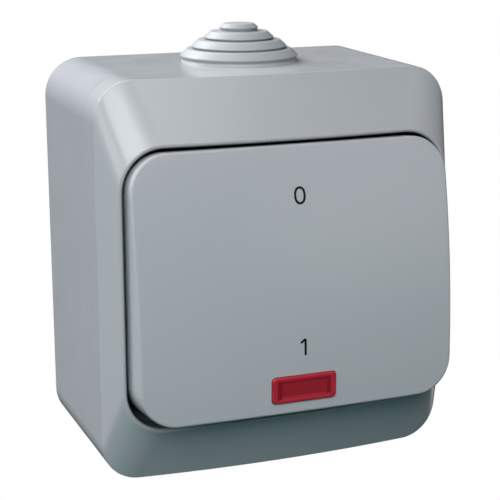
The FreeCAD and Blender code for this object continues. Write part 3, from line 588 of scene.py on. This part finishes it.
# The cover's skin runs from the lip out to the side, over the bevel, round the rolled rim, down the
# throat and back along the recess. Each row is one round of the outline, and the last row meets
# the first.
def makeCover():
    wall = body["wall"]
    seam = body["seam"]
    lipBack = seam - body["lip"]
    lipOut = wall / 2 + body["lipClear"]
    roll = cover["rimRoll"]
    breakLoop = bodyLoop(0, body["breakDepth"], cover["bowTop"], cover["bowBottom"])
    sideLow = bodyLoop(0, seam + body["seamBevel"])
    rim = []
    for degrees in cover["rimSteps"]:
        turn = math.radians(degrees)
        out = roll * (1 - math.cos(turn))
        drop = roll * (1 - math.sin(turn))
        rim.append(rimLoop(out, cover["rimDepth"] - drop, cover["rimCrown"]))
    sideEnd = towards(breakLoop, sideLow, cover["breakRound"])
    bevelStart = towards(breakLoop, rim[0], cover["breakRound"])
    throatEnd = rimLoop(0, cover["recess"], 0.0)
    recessOut = bodyLoop(wall, cover["recess"])
    rows = [bodyLoop(lipOut, seam), bodyLoop(body["seamBevel"], seam), sideLow]
    rows += rowsBetween(sideLow, sideEnd, (0.04, 0.3, 0.65, 0.96))
    rows += softCorner(sideEnd, breakLoop, bevelStart, 6)
    rows += rowsBetween(bevelStart, rim[0], (0.04, 0.22, 0.5, 0.78, 0.96))
    rows += rim
    rows += rowsBetween(rim[-1], throatEnd, (0.05, 0.35, 0.7, 0.97))
    rows += [throatEnd, recessOut]
    rows += [bodyLoop(wall, seam), bodyLoop(wall, lipBack), bodyLoop(lipOut, lipBack)]
    piece = newObject("coverShell", gridMesh("coverShell", np.array(rows), closeRows=True))

    # hollows behind the upper and lower bevels, split by two ribs each
    high = body["halfZ"] - body["draft"] - wall
    low = cover["openingZ"] + cover["throatWall"]
    bevelHeight = body["halfZ"] - cover["openingZ"] - 2 * roll
    slope = (cover["rimDepth"] - body["breakDepth"]) / bevelHeight
    depthHigh = body["breakDepth"] - wall * math.hypot(1, slope) + slope * wall
    depthLow = depthHigh + slope * (high - low)
    ribs = cover["pocketRibs"]
    half = cover["pocketRibHalf"]
    reach = cover["pocketHalfX"]
    spans = ((-reach, -ribs - half), (half - ribs, ribs - half), (ribs + half, reach))
    back = -cover["recess"] + cover["pocketBack"]
    flat = [(low, back), (high, back), (high, -depthHigh), (low, -depthLow)]
    pockets = []
    for side in (-1, 1):
        for x0, x1 in spans:
            pockets.append([(x, y, side * z) for x in (x0, x1) for z, y in flat])
    combine(piece, blockMesh("pockets", pockets), "DIFFERENCE")

    # screw lugs at half height, and their holes
    lugs = []
    tall = cover["lugHalfZ"]
    for side in (-1, 1):
        ends = sorted((side * cover["lugInner"], side * cover["lugOuter"]))
        lugs.append(boxCorners(*ends, seam, cover["lugFront"], -tall, tall))
    combine(piece, blockMesh("lugs", lugs), "UNION")
    bore = cover["screwHole"]
    start = seam - cover["screwStart"]
    profile = [(0, start), (bore, start), (bore, cover["recess"]), (0, cover["recess"])]
    for side in (-1, 1):
        hole = turnedDepth(profile, side * cover["screwX"], 0, cover["screwSteps"])
        combine(piece, gridMesh("hole", hole), "DIFFERENCE")
    finishPiece(piece, materials["greyPlastic"], "root", "front_cover")


makeCover()


rocker = {
    "tilt": 6.43,
    "pivotDepth": 38.1,
    "halfX": 32.7,
    "halfZ": 26.2,
    "radius": 7.4,
    "wall": 1.8,
    "front": 2.2,
    "edgeReach": 10.75,
    "skirtBack": 2.1,
    "bulge": 1.9,
    "crossCrown": 1.06,
    "edgeRound": 0.5,
    "backRound": 0.15,
    "lensZ": -21.2,
    "windowHalfX": 6.84,
    "windowHalfZ": 2.79,
    "windowRadius": 0.95,
    "plateReach": 4.4,
    "plate": 2.0,
    "plateHalfZ": 14.0,
    "plateEnd": 1,
    "ribHalf": 0.6,
    "ribRootZ": 16.0,
    "ribRoot": 0.6,
    "clipX": 7.0,
    "clipHalf": 2.0,
    "clipGap": 0.05,
    "clipOut": 1.25,
    "clipBack": 1.2,
    "nibReach": 0.65,
    "nibBack": 1.19,
    "nibInset": 0.01,
    "crossEnd": 1,
    "crossBack": 1.5,
    "crossLow": 7.4,
    "crossRootZ": 8.0,
    "crossHigh": 8.6,
}

# An arc that rises by a height over a half width has the radius
# (half width squared + height squared) / (2 * height).
rockerTop = rocker["pivotDepth"] + rocker["edgeReach"] + rocker["bulge"] + rocker["crossCrown"]
bulgeRadius = (rocker["halfZ"] ** 2 + rocker["bulge"] ** 2) / (2 * rocker["bulge"])
crossRadius = (rocker["halfX"] ** 2 + rocker["crossCrown"] ** 2) / (2 * rocker["crossCrown"])


# Depth of the crowned face: an arc over the height, swept on a larger arc across the width.
def crownDepth(x, z, inset=0.0):
    front = rockerTop - inset
    ridge = front - bulgeRadius + np.sqrt(bulgeRadius ** 2 - z ** 2)
    middle = crossRadius - front
    return np.sqrt((ridge + middle) ** 2 - x ** 2) - middle


# From the rocker's level position to rest: a turn about its pivot line with the upper end going in.
def tilted(points):
    turn = math.radians(-rocker["tilt"])
    y = points[..., 1] + rocker["pivotDepth"]
    z = points[..., 2]
    moved = points.copy()
    moved[..., 1] = y * math.cos(turn) - z * math.sin(turn) - rocker["pivotDepth"]
    moved[..., 2] = y * math.sin(turn) + z * math.cos(turn)
    return moved


lensLean = math.asin(rocker["lensZ"] / bulgeRadius)
lensDepth = rockerTop - bulgeRadius + math.sqrt(bulgeRadius ** 2 - rocker["lensZ"] ** 2)


# Puts points drawn about the origin, front at -Y, on the face where the lens sits: a turn about X
# by the face's lean there, then a move to its depth and height.
def onLensPlace(points):
    moved = points.copy()
    y = points[..., 1]
    z = points[..., 2]
    moved[..., 1] = y * math.cos(-lensLean) - z * math.sin(-lensLean) - lensDepth
    moved[..., 2] = y * math.sin(-lensLean) + z * math.cos(-lensLean) + rocker["lensZ"]
    return moved


rockerWalk = walkRound(cornerSteps=16, sideSteps=20, endSteps=28)


# Outline of the rocker shrunk by an inset, level at one depth.
def rockerLoop(inset, depth):
    return roundedLoop(
        rockerWalk, rocker["halfX"] - inset, rocker["halfZ"] - inset,
        rocker["radius"] - inset, depth)


# Loop laid on the crowned face, or under it by an inset of the crown or a plain drop.
def ontoCrown(loop, inset=0.0, drop=0.0):
    placed = loop.copy()
    placed[:, 1] = -(crownDepth(loop[:, 0], loop[:, 2], inset) - drop)
    return placed


# The rocker's skin runs up the skirt, round the edge, over the crowned face to the window, through
# it, back out along the inside of the face and down the inside of the skirt.
def makeRocker():
    back = rocker["pivotDepth"] - rocker["skirtBack"]
    edge = rocker["edgeRound"]
    wall = rocker["wall"]
    soft = rocker["backRound"]
    window = roundedLoop(
        rockerWalk, rocker["windowHalfX"], rocker["windowHalfZ"], rocker["windowRadius"], 0)
    windowFront = onLensPlace(window)
    windowBack = onLensPlace(window + np.array([0, rocker["front"], 0]))
    rows = [rockerLoop(soft, back), rockerLoop(0.0, back + soft)]
    low = rows[-1]
    skirtTop = ontoCrown(rockerLoop(0, 0), 0, edge)
    rows += rowsBetween(low, skirtTop, (0.04, 0.35, 0.7, 0.96))
    for degrees in np.linspace(0, 90, 9):
        turn = math.radians(degrees)
        inset = edge * (1 - math.cos(turn))
        rows.append(ontoCrown(rockerLoop(inset, 0), 0, edge * (1 - math.sin(turn))))
    shares = (
        0.015, 0.05, 0.1, 0.17, 0.25, 0.33, 0.42, 0.5, 0.58, 0.67, 0.75, 0.83, 0.9, 0.95, 0.985)
    rows += [ontoCrown(row) for row in rowsBetween(rows[-1], windowFront, shares)]
    rows.append(ontoCrown(windowFront))
    rows.append(ontoCrown(windowBack, rocker["front"]))
    for row in rowsBetween(windowBack, rockerLoop(wall, 0), np.linspace(0.1, 1, 10)):
        rows.append(ontoCrown(row, rocker["front"]))
    rows.append(rockerLoop(wall, back + soft))
    rows.append(rockerLoop(wall - soft, back))
    skin = gridMesh("rockerPlate", tilted(np.array(rows)), closeRows=True)
    piece = newObject("rockerPlate", skin)

    # ribs that stand on the carrier, a cross rib, and four clips that hook behind its ends
    plateBack = rocker["pivotDepth"] + rocker["plateReach"]
    seat = plateBack + rocker["plate"]
    ceiling = float(crownDepth(0, rocker["ribRootZ"], rocker["front"])) + rocker["ribRoot"]
    high = rocker["plateHalfZ"]
    half = rocker["clipHalf"]
    blocks = []
    for x in (-rocker["clipX"], rocker["clipX"]):
        blocks.append(boxCorners(
            x - rocker["ribHalf"], x + rocker["ribHalf"], seat, ceiling,
            -high + rocker["plateEnd"], high - rocker["plateEnd"]))
        for side in (-1, 1):
            legs = sorted((side * (high + rocker["clipGap"]), side * (high + rocker["clipOut"])))
            nibs = sorted((side * (high - rocker["nibReach"]), side * (high + rocker["nibReach"])))
            blocks.append(boxCorners(
                x - half, x + half, plateBack - rocker["clipBack"], ceiling, *legs))
            blocks.append(boxCorners(
                x - half + rocker["nibInset"], x + half - rocker["nibInset"],
                plateBack - rocker["nibBack"], plateBack - rocker["clipGap"], *nibs))
    crossTop = float(crownDepth(0, rocker["crossRootZ"], rocker["front"])) - rocker["ribRoot"]
    blocks.append(boxCorners(
        -rocker["halfX"] + rocker["crossEnd"], rocker["halfX"] - rocker["crossEnd"],
        seat + rocker["crossBack"], crossTop, rocker["crossLow"], rocker["crossHigh"]))
    for block in blocks:
        combine(piece, blockMesh("rib", [tilted(np.array(block, float))]), "UNION")
    finishPiece(piece, materials["greyRocker"], "rocker", "rocker")


makeRocker()


lens = {
    "halfX": 6.72,
    "halfZ": 2.67,
    "radius": 0.9,
    "rim": 0.8,
    "rimEnds": 0.3,
    "proud": 0.35,
    "floor": 0.12,
    "slope": 0.4,
    "slopeEnds": 0.6,
    "edgeRound": 0.28,
    "radii": (0.55, 0.5, 0.45, 0.32, 0.3),
    "smallest": 0.12,
    "lipRound": 0.12,
    "lipDrop": 0.02,
    "lipOut": 0.08,
    "slopeRound": 0.1,
    "floorRound": 0.06,
    "body": 4.2,
    "shelfX": 7.55,
    "shelfZ": 1.35,
    "shelfFront": -2.7,
    "shelfRadius": 0.4,
    "shelfInset": 0.01,
    "windowOut": 0.05,
    "windowUp": 0.1,
    "windowSoft": 0.2,
    # painted shade: the colours that the window and its sloped ends are painted
    "windowPaintedShade": (0.30, 0.016, 0.028),
    "windowEndsPaintedShade": (0.215, 0.010, 0.019),
}


# Rounded rectangles stacked from the back to the rim, over its rounded edge, down the slope to the
# recessed floor and in to the middle.
def makeLens():
    walk = walkRound(cornerSteps=10, sideSteps=10, endSteps=16)

    def loop(inset, rise, radius=None, endInset=0.0):
        size = max(lens["radius"] - inset, lens["smallest"]) if radius is None else radius
        return roundedLoop(
            walk, lens["halfX"] - inset - endInset, lens["halfZ"] - inset, size, rise)

    def shrunk(outer, share):
        return outer * np.array([share, 1, share])

    edge = lens["edgeRound"]
    backLoop = loop(0, -lens["body"])
    rows = [shrunk(backLoop, share) for share in (0, 0.5, 1)]
    rows += rowsBetween(backLoop, loop(0, lens["proud"] - edge), (0.05, 0.5, 0.95))
    for degrees in np.linspace(0, 90, 7):
        turn = math.radians(degrees)
        rows.append(loop(edge * (1 - math.cos(turn)), lens["proud"] - edge * (1 - math.sin(turn))))
    radii = lens["radii"]
    ends = lens["rimEnds"]
    floorEnds = ends + lens["slopeEnds"]
    soft = lens["slopeRound"]
    foot = lens["rim"] + lens["slope"]
    mouth = loop(lens["rim"] - lens["lipRound"], lens["proud"], radii[0], ends)
    lip = loop(lens["rim"], lens["proud"] - lens["lipDrop"], radii[1], ends)
    wallTop = loop(
        lens["rim"] + lens["lipOut"], lens["proud"] - lens["lipRound"], radii[2], ends + soft)
    wallLow = loop(foot - soft, lens["floor"] + soft, radii[3], floorEnds - soft)
    corner = loop(foot, lens["floor"], radii[4], floorEnds)
    floorEdge = loop(foot + lens["floorRound"], lens["floor"], radii[4], floorEnds)
    rows += rowsBetween(rows[-1], mouth, (0.15, 0.85))
    rows += softCorner(mouth, lip, wallTop, 4)
    rows += rowsBetween(wallTop, wallLow, (0.1, 0.9))
    rows += softCorner(wallLow, corner, floorEdge, 3)
    rows += [shrunk(floorEdge, share) for share in (0.97, 0.6, 0.3, 0)]
    piece = newObject("pilotLens", gridMesh("pilotLens", tilted(onLensPlace(np.array(rows)))))

    # shelf that rests behind the rocker's face
    shelf = roundedLoop(walk, lens["shelfX"], lens["shelfZ"], lens["shelfRadius"], 0)
    shelfBack = shelf + np.array([0, lens["body"] - lens["shelfInset"], 0])
    shelfFront = shelf - np.array([0, lens["shelfFront"], 0])
    stack = [shrunk(shelfBack, 0), shelfBack, shelfFront, shrunk(shelfFront, 0)]
    combine(piece, gridMesh("shelf", tilted(onLensPlace(np.array(stack)))), "UNION")
    finishPiece(
        piece, materials["redLens"], "rocker", "indicator_lens", crease=18.0)


# Painted shade: the window is painted a deeper red than the rim, and its sloped ends deeper still,
# as the shade of the recess and its end walls seen through the red.
def paintLensWindowShade():
    tree = materials["redLens"].node_tree
    shader = tree.nodes["Principled BSDF"]
    shadeMasks = tree.nodes.new("ShaderNodeGroup")
    shadeMasks.node_tree = lensShadeMasks
    middle = tilted(onLensPlace(np.zeros((1, 3))))[0]
    window = lens["halfX"] - lens["rim"] - lens["rimEnds"]
    reaches = {
        "Inner": window - lens["slope"] - lens["slopeEnds"],
        "Outer": window + lens["windowOut"],
        "Middle Height": middle[2],
        "Half Height": lens["halfZ"] - lens["rim"] + lens["windowUp"],
        "Softness": lens["windowSoft"],
    }
    for label, reach in reaches.items():
        shadeMasks.inputs[label].default_value = reach * millimetre
    colour = shader.inputs["Base Color"].links[0].from_socket
    for mask, shade in (("Window", lens["windowPaintedShade"]), ("Mask", lens["windowEndsPaintedShade"])):
        colour = mixColours(tree, shadeMasks.outputs[mask], colour, (*shade, 1))
    tree.links.new(colour, shader.inputs["Base Color"])


paintLensWindowShade()
makeLens()


marks = {
    "zeroX": 0.4,
    "zeroZ": 16.5,
    "zeroHalfX": 1.2,
    "zeroHalfZ": 1.72,
    "oneZ": -13.0,
    "oneX": 0.3,
    "oneHeight": 3.35,
    "oneFlag": (-1.0, -0.85),
    "zeroSteps": 72,
    "zeroPowers": (0.85, 0.9),
    "stroke": 0.46,
    "strokeSteps": 24,
    "film": 0.015,
}


# Ink on the crowned face: a ring between two outlines (x, z), from just under the face to just
# over it.
def inkFilm(name, outer, inner):
    def lifted(flat, height):
        x, z = flat.T
        return np.stack([x, -(crownDepth(x, z) + height), z], axis=1)

    over = marks["film"]
    under = -2 * over
    rows = np.array([
        lifted(outer, over), lifted(inner, over), lifted(inner, under), lifted(outer, under)])
    piece = newObject(name, gridMesh(name, tilted(rows), closeRows=True))
    finishPiece(piece, materials["blackInk"], "rocker")


# The nought is an ellipse with its sides a little straightened: a power below one on each cosine.
def noughtOutline(inset):
    angle = 2 * np.pi * np.arange(marks["zeroSteps"]) / marks["zeroSteps"]
    powerX, powerZ = marks["zeroPowers"]
    x = np.sign(np.cos(angle)) * np.abs(np.cos(angle)) ** powerX * (marks["zeroHalfX"] - inset)
    z = np.sign(np.sin(angle)) * np.abs(np.sin(angle)) ** powerZ * (marks["zeroHalfZ"] - inset)
    return np.stack([x + marks["zeroX"], z + marks["zeroZ"]], axis=1)


# A straight stroke with round ends: the line runs from one point to the other, and its half width
# is that of a half circle near each end.
def strokeSides(start, end):
    half = marks["stroke"] / 2
    start, end = np.array(start), np.array(end)
    length = np.linalg.norm(end - start)
    along = (end - start) / length
    steps = marks["strokeSteps"]
    reach = length * (0.5 - 0.5 * np.cos(np.pi * np.arange(1, steps) / steps))
    fromEnd = np.minimum(np.minimum(reach, length - reach), half)
    width = np.sqrt(half ** 2 - (half - fromEnd) ** 2)[:, None]
    line = start + along * reach[:, None]
    across = np.array([-along[1], along[0]])
    return line + across * width, line - across * width


inkFilm("markZero", noughtOutline(0), noughtOutline(marks["stroke"]))
oneFoot = (marks["oneX"], marks["oneZ"] - marks["oneHeight"] / 2)
oneTop = (marks["oneX"], marks["oneZ"] + marks["oneHeight"] / 2)
oneTip = (marks["oneX"] + marks["oneFlag"][0], oneTop[1] + marks["oneFlag"][1])
for name, start, end in (("markOneStem", oneFoot, oneTop), ("markOneFlag", oneTip, oneTop)):
    inkFilm(name, *strokeSides(start, end))
print("marks printed")


spring = {
    "poleX": 8.5,
    "low": 33.005,
    "high": 40.13,
    "mean": 1.23,
    "wire": 0.44,
    "turns": 4,
    "stroke": 0.5,
    "turnSteps": 36,
    "wireSteps": 10,
}


# Round wire on a helix about a line along the depth: each section is a circle square to the helix's
# tangent. The tube's head holds the front end.
def makeSpring(side):
    length = spring["high"] - spring["low"]
    share = np.linspace(0, 1, spring["turns"] * spring["turnSteps"] + 1)[:, None]
    turn = 2 * np.pi * spring["turns"] * share
    still = np.zeros_like(turn)
    outward = np.concatenate([np.cos(turn), still, np.sin(turn)], axis=1)
    climb = np.concatenate([still, spring["low"] + length * share, still], axis=1)
    line = outward * spring["mean"] - climb
    rise = still + length / (2 * np.pi * spring["turns"])
    tangent = np.concatenate(
        [-np.sin(turn) * spring["mean"], -rise, np.cos(turn) * spring["mean"]], axis=1)
    tangent /= np.linalg.norm(tangent, axis=1, keepdims=True)
    across = np.cross(tangent, outward)
    wireTurn = 2 * np.pi * np.arange(spring["wireSteps"])[:, None] / spring["wireSteps"]
    ring = outward[:, None] * np.cos(wireTurn) + across[:, None] * np.sin(wireTurn)
    width = np.full(len(share) + 2, spring["wire"] / 2)
    width[[0, -1]] = 0
    pick = np.concatenate([[0], np.arange(len(share)), [len(share) - 1]])
    points = line[pick][:, None] + ring[pick] * width[:, None, None]
    points[..., 0] += side * spring["poleX"]
    name = "springRight" if side > 0 else "springLeft"
    node = "plunger_spring_right" if side > 0 else "plunger_spring_left"
    piece = newObject(name, gridMesh(name, tilted(points)))
    finishPiece(piece, materials["zincSteel"], "rocker", node, crease=60.0)
    head = np.array([[side * spring["poleX"], -spring["high"] - spring["wire"] / 2, 0]])
    push = tilted(head + np.array([[0, -1, 0]])) - tilted(head)
    tuple(tilted(head)[0] * 0.001)
    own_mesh(piece)


for side in (-1, 1):
    makeSpring(side)


gland = {
    "depth": 17.3,
    "radii": (12.2, 9.9, 7.2, 4.0),
    "rims": (1.25, 3.1, 4.9, 6.85),
    "flats": (2.6, 4.4, 6.1, 7.65),
    "lean": 1.1,
    "undercut": 0.4,
    "foot": 0.5,
    "footRadius": 12.1,
    "round": 0.16,
    "neck": 9.6,
    "flange": 11.6,
    "flangeTop": -2.1,
    "flangeLow": -3.9,
    "bottom": -4.4,
    "wall": 1.2,
    "sink": 0.02,
    "steps": 112,
}


# Rounds the corners of a profile: each inner point gives way to a short quadratic curve between
# points set back from it along both sides, by no more than a share of the side.
def roundedProfile(points, setBack, mostOfSide=0.45, steps=4):
    points = np.array(points, float)
    rounded = [points[:1]]
    for before, corner, after in zip(points, points[1:], points[2:]):
        ends = []
        for other in (before, after):
            length = np.linalg.norm(other - corner)
            ends.append(corner + (other - corner) / length * min(setBack, mostOfSide * length))
        rounded.append(softCorner(ends[0], corner, ends[1], steps))
    return np.concatenate(rounded + [points[-1:]])


# Each ring leans out from its foot to a rim and slopes back in to the flat that carries the next.
# The profile is turned about the gland's own axis, and its foot follows the drafted top face.
def makeGland():
    outside = [
        (gland["neck"], gland["bottom"]), (gland["neck"], gland["flangeLow"]),
        (gland["flange"], gland["flangeLow"]), (gland["flange"], gland["flangeTop"]),
        (gland["neck"], gland["flangeTop"]), (gland["neck"], -gland["sink"]),
    ]
    rings = [
        (gland["footRadius"], -gland["sink"]),
        (gland["radii"][0] - gland["undercut"], gland["foot"])]
    for radius, rim, flat in zip(gland["radii"], gland["rims"], gland["flats"]):
        if radius < gland["radii"][0]:
            rings.append((radius - gland["undercut"], rings[-1][1]))
        rings.append((radius, rim))
        rings.append((radius - gland["lean"] * (flat - rim), flat))
    rings.append((0, gland["flats"][-1]))
    inside = [(0, gland["flats"][-1] - gland["wall"])]
    for radius, flat in zip(gland["radii"][:0:-1], gland["flats"][-2::-1]):
        inner = radius - gland["undercut"] - gland["wall"]
        inside += [(inner, inside[-1][1]), (inner, flat - gland["wall"])]
    bore = gland["neck"] - gland["wall"]
    inside += [(bore, inside[-1][1]), (bore, gland["bottom"])]
    profile = np.concatenate([inside, outside, roundedProfile(rings, gland["round"])])
    points = turned(profile, 0, gland["depth"], gland["steps"])
    slope = body["draft"] / body["breakDepth"]
    points[..., 2] += body["halfZ"] - slope * gland["depth"]
    points[..., 2] += slope * (points[..., 1] + gland["depth"]) * (points[..., 2] < body["halfZ"])
    piece = newObject("glandRings", gridMesh("glandRings", points))
    finishPiece(
        piece, materials["glandRubber"], "root", "cable_gland", crease=50.0)


makeGland()


studio = {
    "floorZ": -1.2,
    "floorHalf": 3.0,
    "whiteSeen": 1.0,
    "roomLight": 0.01,
    "roomShade": (0.15, 0.75, 1.0, 1),
    "paperShade": (0.03, 0.03, 0.03, 1),
    "lightDistance": 1.4,
    "aim": (0, -0.025, 0),
}

lights = {
    "besideCamera": {"way": (-0.35, -0.8, 0.6), "size": 0.9, "power": 8.4},
    "overFront": {"way": (-0.15, -0.62, 0.8), "size": 1.4, "power": 9.4},
    "overBack": {"way": (-0.1, 0.7, 0.8), "size": 0.9, "power": 12.0},
    "leftUp": {"way": (-0.95, -0.2, 0.45), "size": 0.9, "power": 1.9},
    "backLeft": {"way": (-0.53, 0.63, 0.57), "size": 0.6, "power": 15.5},
    "backLow": {"way": (-0.81, 0.47, 0.34), "size": 0.6, "power": 5.0},
    "frontRight": {"way": (0.5, -0.85, 0.1), "size": 0.6, "power": 0.6},
    "lowLeft": {"way": (-0.4, -0.55, -0.75), "size": 0.9, "power": 2.05, "shade": (0.0, 1.0, 1.0)},
    "backRight": {"way": (0.88, 0.3, -0.37), "size": 0.5, "power": 2.4},
    "archFront": {"way": (-0.09, -0.71, 0.69), "size": 0.5, "power": 0.8},
    "archMiddle": {"way": (-0.38, -0.71, 0.6), "size": 0.7, "power": 1.2},
    "archLeft": {"way": (-0.66, -0.59, 0.47), "size": 0.6, "power": 1.4},
    "archSide": {"way": (-0.87, -0.4, 0.28), "size": 0.6, "power": 1.9},
}


# Light meets the first shader, and the camera sees the second, plain white.
def splitForCamera(tree, outputKind, lit, seen):
    seen.inputs["Color"].default_value = (*white, 1)
    seen.inputs["Strength"].default_value = studio["whiteSeen"]
    path = tree.nodes.new("ShaderNodeLightPath")
    mix = tree.nodes.new("ShaderNodeMixShader")
    out = tree.nodes.new(outputKind)
    tree.links.new(path.outputs["Is Camera Ray"], mix.inputs["Fac"])
    tree.links.new(lit.outputs[0], mix.inputs[1])
    tree.links.new(seen.outputs[0], mix.inputs[2])
    tree.links.new(mix.outputs[0], out.inputs["Surface"])


world = bpy.data.worlds.new("studio")
world.use_nodes = True
bpy.context.scene.world = world
tree = world.node_tree
tree.nodes.clear()
room = tree.nodes.new("ShaderNodeBackground")
room.inputs["Color"].default_value = studio["roomShade"]
room.inputs["Strength"].default_value = studio["roomLight"]
splitForCamera(tree, "ShaderNodeOutputWorld", room, tree.nodes.new("ShaderNodeBackground"))

floorMaterial = bpy.data.materials.new("floorPaper")
floorMaterial.use_nodes = True
tree = floorMaterial.node_tree
tree.nodes.clear()
paper = tree.nodes.new("ShaderNodeBsdfDiffuse")
paper.inputs["Color"].default_value = studio["paperShade"]
splitForCamera(tree, "ShaderNodeOutputMaterial", paper, tree.nodes.new("ShaderNodeEmission"))

half = studio["floorHalf"]
flat = ((-half, -half), (half, -half), (half, half), (-half, half))
floorMesh = bpy.data.meshes.new("floor")
floorMesh.from_pydata([(x, y, studio["floorZ"]) for x, y in flat], [], [(0, 1, 2, 3)])
floorMesh.materials.append(floorMaterial)
floor = newObject("floor", floorMesh)

aim = Vector(studio["aim"])
for name, lamp in lights.items():
    data = bpy.data.lights.new(name, "AREA")
    data.shape = "DISK"
    data.size = lamp["size"]
    data.color = lamp.get("shade", white)
    data.energy = lamp["power"]
    light = bpy.data.objects.new(name, data)
    bpy.context.scene.collection.objects.link(light)
    way = Vector(lamp["way"]).normalized()
    aimed = way.to_track_quat("Z", "Y").to_matrix().to_4x4()
    light.matrix_world = Matrix.Translation(aim + way * studio["lightDistance"]) @ aimed
    light.visible_camera = False

bpy.context.scene.view_settings.view_transform = "Standard"
bpy.context.scene.view_settings.look = "None"
print("studio set")
